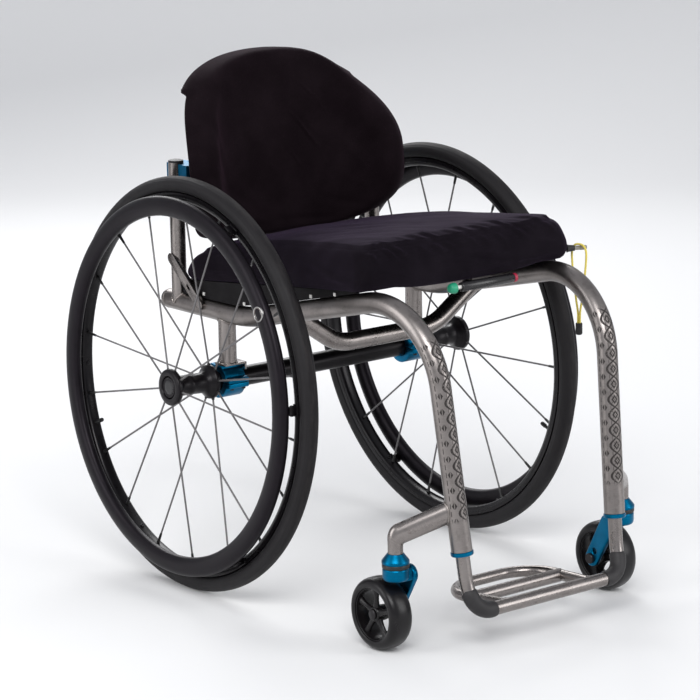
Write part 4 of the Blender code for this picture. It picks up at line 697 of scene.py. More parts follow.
def screw(bm, place, radius, height, depth=0.7):
    """A socket-head screw: a rounded head with a six-sided hole. Its head stands along X."""
    socket = radius * 0.52

    def point(ring, angle):
        along, reach, six = ring
        if six:
            reach *= cos(TAU / 12) / cos(angle % (TAU / 6) - TAU / 12)
        spot = (along, reach * cos(angle), reach * sin(angle))
        return spot, spot

    rings = [
        (0.0, radius, False),
        (height - radius * 0.18, radius, False),
        (height - radius * 0.05, radius * 0.95, False),
        (height, radius * 0.84, False),
        (height, socket * 1.12, False),
        (height - radius * 0.07, socket, True),
        (height * (1 - depth), socket, True),
    ]
    return joined(bm, ringed(rings, 24, point, "last"), place)


def screws(name, body, places, radius, height):
    bm = bmesh.new()
    for place in places:
        screw(bm, place, radius, height)
    piece(name, bm, "dark_screws", body, 32)


def met(origin, along, onto, axis, radius, far):
    """Where a line meets a round tube, on its near or its far side."""
    a = along - axis * along.dot(axis)
    b = origin - onto
    b -= axis * b.dot(axis)
    qa, qb, qc = a.dot(a), 2 * a.dot(b), b.dot(b) - radius**2
    root = sqrt(max(qb * qb - 4 * qa * qc, 0.0))
    return origin + along * ((root if far else -root) - qb) / (2 * qa)


def bead(bm, start, wide, tall, along, onto, axis, tube, size=0.0017, far=False, count=0):
    """A rippled weld bead where a bar with these half axes meets a round tube."""
    turns = [TAU * i / count for i in range(count)]
    path = [met(start + wide * cos(a) + tall * sin(a), along, onto, axis, tube, far) for a in turns]
    shares = [0.84 + 0.22 * abs(sin(pi * i / 4 + 0.4)) for i in range(count)]
    return swept(bm, path + path[:1], size, 8, shares + shares[:1], along, True)


def round_bead(bm, start, along, radius, onto, axis, tube, size=0.0017):
    along, axis = Vector(along).normalized(), Vector(axis).normalized()
    wide = along.cross(axis).normalized() * radius
    count = max(14, round(TAU * radius / 0.0021)) * 4
    bead(bm, Vector(start), wide, along.cross(wide), along, Vector(onto), axis, tube, size, False, count)


def oval_ring(bm, along, radius, half_wide, half_tall, count, steps, place):
    """A plain ring of oval section round X, proud of a bar or a dish."""
    return turned(bm, shifted(oval(half_wide, half_tall, count), along, radius), steps, place)


# Rear wheels


def wheel_frame(side):
    """The wheel's own frame: X points outboard along the axle."""
    out = Vector((side * cos(CAMBER), 0, sin(CAMBER)))
    up = Vector((-side * sin(CAMBER), 0, cos(CAMBER)))
    turn = Matrix((out, up.cross(out), up)).transposed().to_4x4()
    return Matrix.Translation((side * TRACK_HALF, 0, HUB_Z)) @ turn


def tyre_profile():
    """The tyre's section: a round slick tread, a scribed line on each shoulder, and a bead lip."""
    steps = {48: -0.00035, 96: -0.00035, 120: 0.00035, 126: 0.00035}
    points = []
    for degrees in range(-138, 139, 6):
        angle = radians(degrees)
        reach = TYRE_SECTION + steps.get(abs(degrees), 0.0)
        points.append((reach * sin(angle), TYRE_RADIUS - TYRE_SECTION + reach * cos(angle)))
    return points


def handrim_inlay(name, rings, place, finish, body):
    """A round plug from (radius, how proud) rings. The first ring lies in the handrim's outer face."""

    def point(ring, angle):
        size, proud = ring
        up = size * sin(angle)
        face = HANDRIM_HALF[0] * (1 - abs(up / HANDRIM_HALF[1]) ** HANDRIM_POWER) ** (1 / HANDRIM_POWER)
        if ring is not rings[0]:
            face = (face + 0.0082) / 2
        spot = (HANDRIM_OFFSET + face + proud, size * cos(angle), HANDRIM_RADIUS + up)
        return spot, spot

    piece(name, joined(bmesh.new(), ringed(rings, 48, point, "last"), place), finish, body, 50)


def rear_wheel(name, side):
    place = wheel_frame(side)
    body = f"{name}_wheel"

    def spun_on(degrees):
        return place @ Matrix.Rotation(radians(degrees), 4, "X")

    turned_piece(f"{name}_tyre_slick", tyre_profile(), 200, place, "tyre_rubber", body, 50, f"{name}_tyre")

    seat = TYRE_SEAT_RADIUS - GAP
    half = [(0.009, seat), (0.0104, seat - 0.0006)]
    half += mm((10.5, 269), (10.1, 264.2), (8.6, 261.5), (5.6, 260.3), (0, 260))
    rim = turned(bmesh.new(), half + [(-x, r) for x, r in half[-2::-1]], 200, place)
    for along in (0.010, -0.010):
        oval_ring(rim, along, 0.2668, 0.00075, 0.0006, 8, 200, place)
    piece(f"{name}_rim_hoop", rim, "black_rim", body, 40, f"{name}_rim")

    ring = shifted(oval(*HANDRIM_HALF, 28, HANDRIM_POWER), HANDRIM_OFFSET, HANDRIM_RADIUS)
    turned_piece(f"{name}_handrim_hoop", ring, 192, place, "black_handrim", body, 60, f"{name}_handrim")
    spot = spun_on(33 - 90)
    ring = mm((10.6, -1), (10.6, 0.4), (10.2, 1), (9.5, 1.1), (8.9, 0.6), (8.6, 0))
    handrim_inlay(f"{name}_handrim_ring", ring, spot, "steel", body)
    # The dish's finish is darker than the ring's steel: painted shade in the plug's hollow
    dish = mm((9, -1.2), (8.8, 0.3), (7, -0.1), (4.5, -0.4), (2.2, -0.5), (0.6, -0.5))
    handrim_inlay(f"{name}_handrim_dish_painted_shade", dish, spot, "handrim_dish_painted_shade", body)

    tabs = bmesh.new()
    heads = []
    for i in range(TABS):
        spin = place @ Matrix.Rotation(TAB_PHASE - QUARTER + TAU * i / TABS, 4, "X")
        block(tabs, (0.0104, -0.006, 0.2636), (0.0235, 0.006, 0.2712), 0.0009, spin)
        block(tabs, (0.0106, -0.0085, 0.2628), (0.0126, 0.0085, 0.2722), 0.0008, spin)
        bolt = [spin @ Vector((0.018, y, 0.2674)) for y in (-0.0074, -0.0066, 0.0066, 0.0074)]
        swept(tabs, bolt, 0.003, 16, (0.7, 1, 1, 0.7))
        foot = Matrix.Translation((0, 0, RIM_INNER_RADIUS + 0.0004))
        heads.append(spin @ foot @ Matrix.Rotation(QUARTER, 4, "Y"))
    piece(f"{name}_handrim_tabs", tabs, "black_rim", body)
    screws(f"{name}_handrim_screws", body, heads, 0.003, 0.0022)

    hub = mm(
        (23.5, 6.6), (23.5, 15.2), (24.5, 15.6), (33.5, 16), (34.5, 16.8), (34.8, 19.6), (34.4, 23.8),
        (33.4, 25.4), (31.8, 26), (27.6, 26), (26.2, 25.4), (25.2, 23.8), (21.2, 18), (18, 15.2),
        (15, 14.5), (4, 14.3), (3, 14.8), (-3, 14.8), (-4, 14.3), (-20.5, 14.6), (-24.5, 15.8),
        (-29, 19.6), (-32.5, 23.2), (-33.8, 24.2), (-36.6, 24.6), (-38.8, 24), (-40, 22.5),
        (-40.8, 16), (-41, 12.5), (-41, 6.6),
    )
    turned_piece(f"{name}_hub", hub, 96, place, "black_hub", body, 40, f"{name}_hub_and_spokes")

    rods = bmesh.new()
    ends = bmesh.new()
    for i in range(SPOKES):
        offset = 0.029 if i % 2 else -0.0365
        angle = SPOKE_PHASE[name] + TAU * i / SPOKES
        ray = Vector((0, cos(angle), sin(angle)))
        start = place @ (ray * 0.019 + Vector((offset, 0, 0)))
        finish = place @ (ray * (RIM_INNER_RADIUS - 0.0006))
        length = (finish - start).length
        along = (finish - start) / length
        swept(rods, [start + along * t for t in (0.004, length * 0.5, length - 0.010)], 0.00135, 12)
        outer = [finish - along * t for t in (0.0002, 0.003, 0.0042, 0.014, 0.0156, 0.0158)]
        swept(ends, outer, 0.00215, 12, (1.25, 1.25, 0.98, 0.86, 0.80, 0.5))
        inner = [start + along * t for t in (0.0, 0.006, 0.0078, 0.008)]
        swept(ends, inner, 0.0023, 12, (1, 1, 0.8, 0.55))
    piece(f"{name}_spokes", rods, "spoke_fibre", body)
    piece(f"{name}_spoke_ends", ends, "spoke_ends", body)

    stem = mm((0, 0), (0, 3), (4, 3), (5.2, 2.4), (12, 2.4), (12.4, 3.1), (19, 3.1), (20.6, 2.4), (21, 0))
    down = Matrix.Translation((0, 0, RIM_INNER_RADIUS + 0.001)) @ Matrix.Rotation(QUARTER, 4, "Y")
    turned_piece(f"{name}_tyre_valve", stem, 24, spun_on(112.6) @ down, "spoke_ends", body, 38)

    pin = mm(
        (-72, 0), (-72, 4.6), (-70.8, 6), (-69, 6.35), (23.8, 6.35), (23.8, 9.8), (25.8, 9.8),
        (25.8, 3.4), (12, 3.4), (12, 0),
    )
    turned_piece(f"{name}_axle_pin", pin, 32, place, "steel", body, 40, f"{name}_wheel_axle")

    button = mm(
        (11, 0), (11, 3), (30, 3), (30, 14), (30.6, 14.7), (32.6, 14.8), (33.5, 14.3), (33.7, 13.4),
        (33.3, 12.8), (33.1, 9), (32.8, 0),
    )
    bm = turned(bmesh.new(), button, 64, place)
    oval_ring(bm, 0.0331, 0.0106, 0.0004, 0.0006, 8, 64, place)
    piece(f"{name}_button_cap", bm, "black_hub", f"{name}_button", 30, f"{name}_release_button")
    disc = mm((32.6, 0), (32.6, 9.8), (33.4, 10), (33.6, 9.4), (33.5, 6), (33.6, 0))
    turned_piece(f"{name}_button_disc", disc, 64, place, "valve_barrel", f"{name}_button", 30)


on_both_sides(rear_wheel)


# Frame tubes


def side_path(side):
    """The side tube's middle line, from the open end of the front leg up and back."""
    corners = [mirrored(corner, side) for corner in (LEG_END, FRONT_BEND, SEAT_BEND, SEAT_REAR)]
    return rounded_path(corners, (0.112, 0.25), radians(3))


SEAT_STRETCH = [point for point in side_path(1) if point.z > 0.38]


def on_side_tube(y):
    """A point of the left side tube's middle line at this y, on the seat stretch, and the line's slope."""
    for ahead, back in zip(SEAT_STRETCH, SEAT_STRETCH[1:]):
        if ahead.y <= y <= back.y:
            break
    return ahead.lerp(back, (y - ahead.y) / (back.y - ahead.y)), (back - ahead).normalized()


def leg_axis(side):
    return mirrored(Vector(FRONT_BEND) - Vector(LEG_END), side).normalized()


def leg_point(z, side):
    axis = leg_axis(side)
    return mirrored(LEG_END, side) + axis * (z - LEG_END[2]) / axis.z


def rail(name, side):
    """The bent tube of the seat and the front leg, closed by a dome at its rear."""
    path = filled_in(side_path(side), 0.02)
    rear = (path[-1] - path[-2]).normalized()
    turns = [radians(a) for a in (15, 30, 45, 60, 73, 84)]
    dome = [path[-1] + rear * TUBE * sin(a) for a in turns]
    shares = [1.0] * len(path) + [cos(a) for a in turns]
    bm = swept(bmesh.new(), path + dome, TUBE, 48, shares, Vector((0, -0.1, 1)))
    piece(f"{name}_side_rail", bm, "etched_titanium", "frame", 50, f"{name}_side_tube")
    seam = oval_ring(bmesh.new(), 0.0, TUBE - 0.0008, 0.0012, 0.0011, 12, 48, aimed(path[-1], rear))
    piece(f"{name}_rail_end_seam", seam, "weld_bead", "frame", 60)


def riser(name, side, welds):
    """The upright with its welded saddle, from the camber tube's clamp to the side tube."""
    top, slope = on_side_tube(RISER_Y)
    foot = CAMBER_TUBE_Z + CLAMP_TOP + GAP
    low = Vector((side * RISER_X, RISER_Y, foot))
    high = Vector((low.x, low.y, top.z))
    bm = swept(bmesh.new(), [low, low.lerp(high, 0.5), high], THIN_TUBE, 40)
    inner = CLAMP_X[0] - GAP
    lip = inner - 0.003
    for low_x, high_x, low_z, high_z in ((lip, CLAMP_X[1], 0, 0.003), (lip, inner, -0.0085, 0.0022)):
        near, far = sorted((side * low_x, side * high_x))
        block(bm, (near, RISER_Y - 0.013, foot + low_z), (far, RISER_Y + 0.013, foot + high_z), 0.0005)
    piece(f"{name}_riser_tube", bm, "satin_titanium", "frame", 40, f"{name}_riser")
    round_bead(welds, low, UP, THIN_TUBE, mirrored(top, side), mirrored(slope, side), TUBE)
    oval_ring(welds, 0.0028, 0.013, 0.0013, 0.0013, 10, 60, aimed(low, UP, "Y"))


def post(name, side, welds):
    """The backrest's post and the plug in its top."""
    seat, slope = on_side_tube(POST_Y)
    top = Vector((side * POST_X, POST_Y, POST_TOP))
    path = filled_in([Vector((top.x, POST_Y, seat.z)), top], 0.03)
    bm = swept(bmesh.new(), path, POST_RADIUS, 40)
    piece(f"{name}_post_tube", bm, "satin_titanium", "frame", 40, f"{name}_back_post")
    round_bead(welds, top, -UP, POST_RADIUS, mirrored(seat, side), mirrored(slope, side), TUBE)
    cap = mm((0.2, 0), (0.2, 11), (1.8, 11.1), (2.8, 10.4), (3.4, 8.6), (3.6, 0))
    place = aimed(top, UP, "Y")
    turned_piece(f"{name}_post_plug", cap, 40, place, "black_plastic", "frame", 30, f"{name}_post_cap")


def strut(name, side):
    """The slotted plate between the side tube and the post."""
    foot, head = Vector((0.030, 0.3985)), Vector((0.097, 0.457))
    along = (head - foot).normalized()
    turn = atan2(along.y, along.x)

    def link(first, second, radius, steps):
        outline = arc(first, radius, turn - QUARTER, turn + QUARTER, steps)
        return outline + arc(second, radius, turn + QUARTER, turn + TAU * 3 / 4, steps)

    centre = head.lerp(foot, 0.62)
    slot = link(centre + along * 0.003, centre - along * 0.003, 0.0019, 8)
    near, far = sorted((side * 0.1835, side * 0.1905))
    bm = plate(bmesh.new(), link(head, foot, 0.0075, 16), near, far, (slot,), 0.0006)
    piece(f"{name}_gusset_strut", bm, "satin_titanium", "frame", 35, f"{name}_gusset")


def caster_arm(name, side, welds):
    """The arm from the leg: oval at its root, bent down to a round neck over the caster."""
    root = leg_point(0.198, side)
    root_wide, root_tall, inside, steps = 0.010, 0.0143, 0.003, 12
    corner = Vector((side * CASTER_X, SWIVEL_Y, 0.163))
    along = (corner - root).normalized()
    wide = along.cross(UP).normalized()
    tall = wide.cross(along).normalized()
    level = Vector((along.x, along.y, 0)).normalized()
    run = (corner - root).dot(level) - NECK_RADIUS - inside
    start = root - tall * (root_tall + inside)
    pivot = start + along * (run - (start - root).dot(level)) / along.dot(level)
    rings = [(root + along * 0.004, wide * root_wide, tall * root_tall, 0.0)]
    for k in range(steps + 1):
        share = k / steps
        out = tall.slerp(level, share)
        h = root_tall + (NECK_RADIUS - root_tall) * smooth(share)
        w = root_wide + (NECK_RADIUS - root_wide) * smooth(share)
        rings.append((pivot + out * (h + inside), wide * w, out * h, 0.06 + 0.03 * share))
    neck = Vector((side * CASTER_X, SWIVEL_Y, NECK_END_Z + GAP))
    rings.append((neck, wide * NECK_RADIUS, level * NECK_RADIUS, 0.11))
    bm = lofted(bmesh.new(), rings, 40)
    piece(f"{name}_arm_tube", bm, "satin_titanium", "frame", 50, f"{name}_caster_arm")
    axis = leg_axis(side)
    bead(welds, root, wide * 0.0102, tall * 0.0145, along, root, axis, TUBE, far=True, count=140)


def frame_side(name, side):
    welds = bmesh.new()
    rail(name, side)
    riser(name, side, welds)
    post(name, side, welds)
    strut(name, side)
    caster_arm(name, side, welds)
    piece(f"{name}_weld_beads", welds, "weld_bead", "frame", 80)


def cross_bar():
    top, slope = on_side_tube(CROSS_Y)
    corners = [mirrored(top, -1), mirrored(CROSS_LOW, -1), CROSS_LOW, top]
    path = filled_in(rounded_path(corners, (0.075, 0.075)), 0.02)
    bm = swept(bmesh.new(), path, THIN_TUBE, 44, lean=Vector((0, 1, 0)))
    piece("dropped_cross_tube", bm, "satin_titanium", "frame", 50, "cross_tube")
    welds = bmesh.new()
    for side in (-1, 1):
        end, inner = mirrored(top, side), mirrored(CROSS_LOW, side)
        round_bead(welds, inner, end - inner, THIN_TUBE, end, mirrored(slope, side), TUBE)
    piece("cross_tube_welds", welds, "weld_bead", "frame", 80)


def clamp_outline(top):
    """One half of a camber tube clamp, with its ears and its part of the bore, as (y, z) points."""
    bore = CAMBER_TUBE_RADIUS + GAP
    low, ear = 0.0004, 0.0074
    start = asin(ear / CLAMP_RADIUS)
    outline = [(0.032, low), (0.032, ear - 0.0012), (0.0308, ear)]
    if top:
        corner = acos(CLAMP_FLAT / CLAMP_RADIUS)
        outline += arc((0, 0), CLAMP_RADIUS, start, corner, 8)
        outline += [(CLAMP_FLAT, CLAMP_TOP), (-CLAMP_FLAT, CLAMP_TOP)]
        outline += arc((0, 0), CLAMP_RADIUS, pi - corner, pi - start, 8)
    else:
        outline += arc((0, 0), CLAMP_RADIUS, start, pi - start, 36)
    outline += [(-0.0308, ear), (-0.032, ear - 0.0012), (-0.032, low)]
    inside = asin(low / bore)
    outline += arc((0, 0), bore, pi - inside, inside, 40)
    return outline if top else [(y, -z) for y, z in outline]


def camber_gear():
    level = Matrix.Translation((0, 0, CAMBER_TUBE_Z))
    half = CAMBER_TUBE_HALF
    end = [(half, 0.0139), (half - 0.0004, CAMBER_TUBE_RADIUS)]
    ring = [(-half, 0.0113), (half, 0.0113)] + end + [(-x, r) for x, r in end[::-1]]
    turned_piece("camber_bar", ring, 64, level, "black_camber_tube", "frame", 40, "camber_tube")
    flange = mm(
        (-36, 6.6), (-36, 10.8), (0, 11), (0, 14), (0.6, 14.3), (1.6, 14.3), (3.2, 12.8), (3.2, 7),
        (2.6, 6.6),
    )
    flange = shifted(flange, half + GAP)
    for name, side in SIDES:
        turn = level @ Matrix.Rotation(0 if side > 0 else pi, 4, "Z")
        turned_piece(f"{name}_camber_insert", flange, 48, turn, "steel", "frame", 35, f"{name}_camber_plug")
        near, far = sorted((side * CLAMP_X[0], side * CLAMP_X[1]))
        for half_name in ("top", "base"):
            bm = plate(bmesh.new(), clamp_outline(half_name == "top"), near, far, (), 0.0007, level)
            clamp = f"{name}_clamp_{half_name}"
            piece(f"{clamp}_half", bm, "blue_anodised", "frame", 30, clamp)
        spots = [(side * x, y, CAMBER_TUBE_Z - 0.0073) for x in (0.157, 0.177) for y in (-0.028, 0.028)]
        screws(f"{name}_clamp_screws", "frame", [aimed(spot, -UP, "Y") for spot in spots], 0.003, 0.0026)


on_both_sides(frame_side)
cross_bar()
camber_gear()


# Front legs' collars and the footrest


def collars(name, side):
    down = -leg_axis(side)
    end = mirrored(LEG_END, side)
    sideways = (Vector((1, 0, 0)) - down * down.x).normalized()
    profile = mm(
        (-6, 10.5), (-6, 11), (0.3, 11.2), (0.3, 14.8), (0.8, 15.3), (4.6, 15.3), (5.6, 14.9),
        (6, 14.2), (6, 10.6), (5.4, 10), (-5, 10),
    )
    bm = turned(bmesh.new(), profile, 56, aimed(end, down, "Y"))
    for vert in bm.verts:
        offset = vert.co - end
        offset -= down * offset.dot(down)
        if offset.length < 0.0108:
            vert.co += sideways * 0.0019 * offset.dot(sideways) / offset.length
    piece(f"{name}_collar_ring", bm, "blue_anodised", "frame", 35, f"{name}_leg_collar")
    spot = end + down * 0.003 + Vector((0, 0.015, 0))
    screws(f"{name}_collar_screw", "frame", [aimed(spot, (0, 1, 0))], 0.0022, 0.0008)


def foot_path():
    half = [leg_point(LEG_END[2] + 0.100, 1), leg_point(0.096, 1), Vector((0.129, *FOOT_BAR))]
    corners = [mirrored(point, -1) for point in half] + half[::-1]
    return filled_in(rounded_path(corners, (0.10, 0.028, 0.028, 0.10), radians(5)), 0.02)


def footrest():
    bar_y, bar_z = FOOT_BAR
    rear_x, rear_y = LOOP_REAR
    path = foot_path()
    bm = swept(bmesh.new(), path, FOOT_TUBE, 36, lean=Vector((0, 1, 0)))
    front = (LOOP_FRONT_X, bar_y, bar_z)
    rear = (rear_x, rear_y, bar_z - LOOP_DROP)
    loop = rounded_path([mirrored(front, -1), mirrored(rear, -1), rear, front], (0.055, 0.055))
    swept(bm, filled_in(loop, 0.02), LOOP_RADIUS, 32, lean=UP)
    share = (MIDDLE_BAR_Y - bar_y) / (rear_y - bar_y)
    reach, middle_y, level = Vector(front).lerp(Vector(rear), share)
    middle = [Vector((x, middle_y, level)) for x in (-reach, -reach / 2, 0, reach / 2, reach)]
    swept(bm, middle, 0.0092, 32, lean=UP)
    piece("footrest_bars", bm, "satin_titanium", "footrest", 50, "footrest")
    welds = bmesh.new()
    for side in (-1, 1):
        start, end = mirrored(rear, side), mirrored(front, side)
        round_bead(welds, start, end - start, LOOP_RADIUS, end, (1, 0, 0), FOOT_TUBE, 0.0013)
        join = Vector((side * reach, middle_y, level))
        out = (side, 0, 0)
        round_bead(welds, middle[2], out, 0.0092 * 0.86, join, end - start, LOOP_RADIUS * 1.02, 0.0012)
    piece("footrest_welds", welds, "weld_bead", "footrest", 80)
    sleeve_z, sleeve_x = 0.0865, 0.0985
    for name, side in SIDES:
        kept = [point for point in path if point.x * side > sleeve_x and point.z < sleeve_z]
        kept.sort(key=lambda point: -point.z if point.z > bar_z + 0.002 else 1 - abs(point.x))
        top = leg_point(sleeve_z, side)
        spine = [top] + [point for point in kept if (point - top).length > 0.002]
        spine = filled_in(spine + [Vector((side * sleeve_x, bar_y, bar_z))], 0.004)
        shares = [0.94] + [1.0] * (len(spine) - 2) + [0.94]
        bm = swept(bmesh.new(), spine, 0.0111, 40, shares, Vector((0, 1, 0)))
        piece(f"{name}_foot_sleeve", bm, "sleeve_rubber", "footrest", 50, f"{name}_footrest_sleeve")


on_both_sides(collars)
footrest()


# Casters


def linked(first, first_radius, second, second_radius, steps):
    """The outline of a link round two circles of (y, z) centres."""
    first, second = Vector(first), Vector(second)
    along = second - first
    lean = acos((first_radius - second_radius) / along.length)
    turn = atan2(along.y, along.x)
    outline = arc(second, second_radius, turn - lean, turn + lean, steps)
    return outline + arc(first, first_radius, turn + lean, turn + TAU - lean, steps)


def caster(name, side):
    base = NECK_END_Z - 0.0137
    seal = base - GAP - 0.0058
    crown = seal - GAP
    swivel = Matrix.Translation((side * CASTER_X, SWIVEL_Y, 0)) @ Matrix.Rotation(-QUARTER, 4, "Y")
    cone = mm(
        (0, 0), (0, 18), (0.6, 18.6), (4, 18.6), (4.7, 18.2), (11.5, 12.9), (12.9, 11.8), (13.7, 11.2),
        (13.7, 0),
    )
    cone = shifted(cone, base)
    turned_piece(
        f"{name}_housing_cone", cone, 64, swivel, "blue_anodised", "frame", 35, f"{name}_caster_housing"
    )
    ring = shifted(mm((0, 0), (0, 16.8), (0.8, 18), (2.2, 18.3), (5, 18.3), (5.8, 17.8), (5.8, 0)), seal)
    turned_piece(f"{name}_seal_ring", ring, 64, swivel, "seal_rubber", "frame", 35, f"{name}_caster_seal")
    drum = mm(
        (-16.5, 0), (-16.5, 14.8), (-15.8, 16), (-13.8, 17.4), (-11, 17.8), (-1.2, 17.8), (0, 17), (0, 0)
    )
    bm = turned(bmesh.new(), shifted(drum, crown), 64, swivel)
    middle = Matrix.Translation((side * CASTER_X, 0, 0))
    axle = Vector((CASTER_AXLE_Y, CASTER_RADIUS))
    head = Vector((SWIVEL_Y, FORK_TOP_Z))
    hole = arc(axle + (head - axle).normalized() * 0.013, 0.0041, 0, TAU * 19 / 20, 19)
    near, far = sorted((-side * FORK_NEAR, -side * FORK_FAR))
    plate(bm, linked(head, 0.0135, axle, 0.012, 24), near, far, (hole,), 0.002, middle, 4)
    top = FORK_TOP_Z + 0.0135 * 0.78
    half = [(0.0115, 0.1006), (0.010, top - 0.002), (0.008, top)]
    shoulder = [(SWIVEL_Y - 0.0115, 0.1006)] + [(SWIVEL_Y + y, z) for y, z in half]
    shoulder += [(SWIVEL_Y - 0.008, top), (SWIVEL_Y - 0.010, top - 0.002)]
    near, far = sorted((-side * 0.004, -side * (FORK_FAR - 0.0006)))
    plate(bm, shoulder, near, far, (), 0.0015, middle, 3)
    piece(f"{name}_fork_body", bm, "blue_anodised", f"{name}_fork", 32, f"{name}_caster_fork")

    body = f"{name}_caster"
    face = Matrix.Rotation(0 if side < 0 else pi, 4, "Z")
    spin = Matrix.Translation((side * CASTER_X, CASTER_AXLE_Y, CASTER_RADIUS)) @ face
    half = mm(
        (0, 49.5), (5, 49.4), (9, 48.9), (12.5, 47.8), (15.2, 46), (17, 43.6), (17.8, 40.8), (17.6, 38.4),
        (16.8, 36.6), (16.6, 36.2),
    )
    tread = [(-x, r) for x, r in half[:0:-1]] + half
    turned_piece(f"{name}_caster_tread", tread, 96, spin, "caster_tyre_rubber", body, 50, f"{body}_tyre")
    barrel = mm((-15, 36), (15, 36), (15.3, 35.4), (15, 34.6), (12, 34), (6, 33.5), (0, 33.3))
    bm = turned(bmesh.new(), barrel + [(-x, r) for x, r in barrel[-2:1:-1]], 96, spin)
    hub = mm(
        (-13.5, 4.2), (-13.5, 8.8), (-12.8, 9.8), (-11, 10.4), (-7, 11.2), (3, 10.8), (11, 9.8),
        (12.8, 9.2), (13.5, 8.4), (13.5, 4.2),
    )
    turned(bm, hub, 64, spin)
    for i in range(5):
        arm = spin @ Matrix.Rotation(TAU * i / 5, 4, "X")
        turn = arm.to_3x3()
        rings = []
        for r, w, t in mm((9.5, 5.8, 4.4), (18, 4.2, 3.4), (26, 4.4, 3.4), (34.5, 7, 4.2)):
            centre = arm @ Vector((-0.0082, 0, r))
            rings.append((centre, turn @ Vector((0, w, 0)), turn @ Vector((t, 0, 0)), r))
        lofted(bm, rings, 20)
    piece(f"{name}_caster_hub", bm, "caster_wheel_plastic", body, 45, f"{body}_wheel")

    hub_half = 0.0135
    head = -hub_half - GAP
    bolt = shifted(mm((-3, 0), (-3, 5.8), (-2.2, 7.2), (-0.8, 7.5), (0, 7.5), (0, 4)), head)
    bolt += [(-head, 0.004), (-head, 0.0062), (FORK_NEAR - GAP, 0.0062), (FORK_NEAR - GAP, 0.004)]
    bolt += [(FORK_FAR + GAP, 0.004), (FORK_FAR + GAP, 0.0072)]
    bolt += shifted(mm((0.6, 7.5), (3.8, 7.5), (4.8, 6.6), (4.8, 0)), FORK_FAR)
    turned_piece(f"{name}_caster_bolt", bolt, 40, spin, "dark_screws", body, 35, f"{body}_axle")


on_both_sides(caster)


# Backrest


def back_y(x, z):
    return 0.137 + 0.12 * (z - 0.700) - 0.085 * (abs(x) / BACK_HALF_WIDTH) ** 4


def back_point(x, z, offset):
    step = 0.0005
    lean_x = (back_y(x + step, z) - back_y(x - step, z)) / (2 * step)
    return Vector((x, back_y(x, z), z)) + Vector((lean_x, -1, 0.12)).normalized() * offset


def back_outline(angle):
    """The backrest's outline, as x and height over its middle. It is squarer below."""
    c, s = cos(angle), sin(angle)
    tall, power = (0.151, 2 / 2.2) if s > 0 else (0.115, 2 / 3.6)
    x = BACK_HALF_WIDTH * signed_power(c, power)
    z = tall * signed_power(s, power)
    if s < 0:
        z += 0.001 * max(0.0, 1 - (x / BACK_HALF_WIDTH) ** 2) ** 2
    return x, z


def back_row(share, offset):
    def point(angle):
        x, z = back_outline(angle)
        return back_point(x * share, BACK_MIDDLE_Z + z * share, offset)

    return point


def hood_level(angle, share=1.0):
    """0 under the lip of the cover's hood, and 1 above it."""
    z = BACK_MIDDLE_Z + back_outline(angle)[1] * share
    return smooth(held((z - HOOD_LIP_Z + 0.003) / 0.006))


def edge_row(share, offset, hood_share, hood_offset):
    """A row of the pad's edge: plain below the hood, and pulled back over the shell's edge at the hood."""

    def point(angle):
        level = hood_level(angle)
        here = share + (hood_share - share) * level
        return back_row(here, offset + (hood_offset - offset) * level)(angle)

    return point


def rear_row(share):
    """A row behind the shell at the hood, and within the shell under it."""
    return lambda angle: back_row(share, 0.0012 - 0.0132 * hood_level(angle, share))(angle)


def spread(profile, sides):
    """A closed form whose rows from pole to pole are given by a profile."""
    part = bmesh.new()
    rows = len(profile) - 1
    bmesh.ops.create_uvsphere(part, u_segments=sides, v_segments=rows, radius=1.0)
    for vert in part.verts:
        row = round(acos(max(-1.0, min(1.0, vert.co.z))) * rows / pi)
        vert.co = profile[row](atan2(vert.co.y, vert.co.x) + TAU / sides / 2)
    bmesh.ops.recalc_face_normals(part, faces=part.faces)
    skinned(part)
    return part


def backrest():
    thick = 0.003
    shares = (0.0, 0.15, 0.3, 0.45, 0.6, 0.72, 0.82, 0.90, 0.96, 0.985)
    rows = [back_row(share, 0.0) for share in shares]
    rows += [back_row(1.0, 0.0008), back_row(1.0, 0.0022)]
    rows += [back_row(share, thick) for share in shares[::-1]]
    bm = joined(bmesh.new(), spread(rows, 160))
    piece("moulded_back_shell", bm, "shell_laminate", "frame", 40, "backrest_shell")

    back = thick + GAP
    depth = PAD_THICKNESS - back
    rows = [back_row(i / 64 * 0.945, back + depth + 0.006 * (1 - (i / 64) ** 2)) for i in range(64)]
    for share, reach, hood_share, hood_reach in (
        (0.957, 0.985, 0.957, 0.985), (0.976, 0.940, 0.976, 0.940), (0.991, 0.870, 0.991, 0.870),
        (1.001, 0.770, 1.001, 0.770), (1.008, 0.650, 1.008, 0.650), (1.012, 0.520, 1.012, 0.500),
        (1.013, 0.400, 1.014, 0.340), (1.012, 0.280, 1.016, 0.180), (1.010, 0.170, 1.018, 0.020),
        (1.007, 0.060, 1.019, -0.130), (1.005, -0.030, 1.016, -0.240), (1.003, -0.085, 1.008, -0.320),
        (0.994, -0.112, 0.998, -0.360), (0.980, -0.112, 0.985, -0.365), (0.974, -0.060, 0.974, -0.360),
    ):
        rows.append(edge_row(share, back + depth * reach, hood_share, back + depth * hood_reach))
    rows += [rear_row(0.964 - 0.016 * i) for i in range(24)]
    rows += [back_row(share, 0.0012) for share in (0.5, 0.35, 0.2, 0.0)]
    part = spread(rows, 240)
    crease_pad(part)
    bm = joined(bmesh.new(), part)
    pad = piece("backrest_cushion", bm, "backrest_cover", "frame", 180, "backrest_pad")

    hem = [back_point(0.1385 * (i / 60 - 1), HOOD_LIP_Z + 0.0045, -0.0124) for i in range(121)]
    bm = swept(bmesh.new(), hem, 0.001, 8, lean=UP)
    piece("backrest_seams", bm, "seam_cloth", "frame", 60)


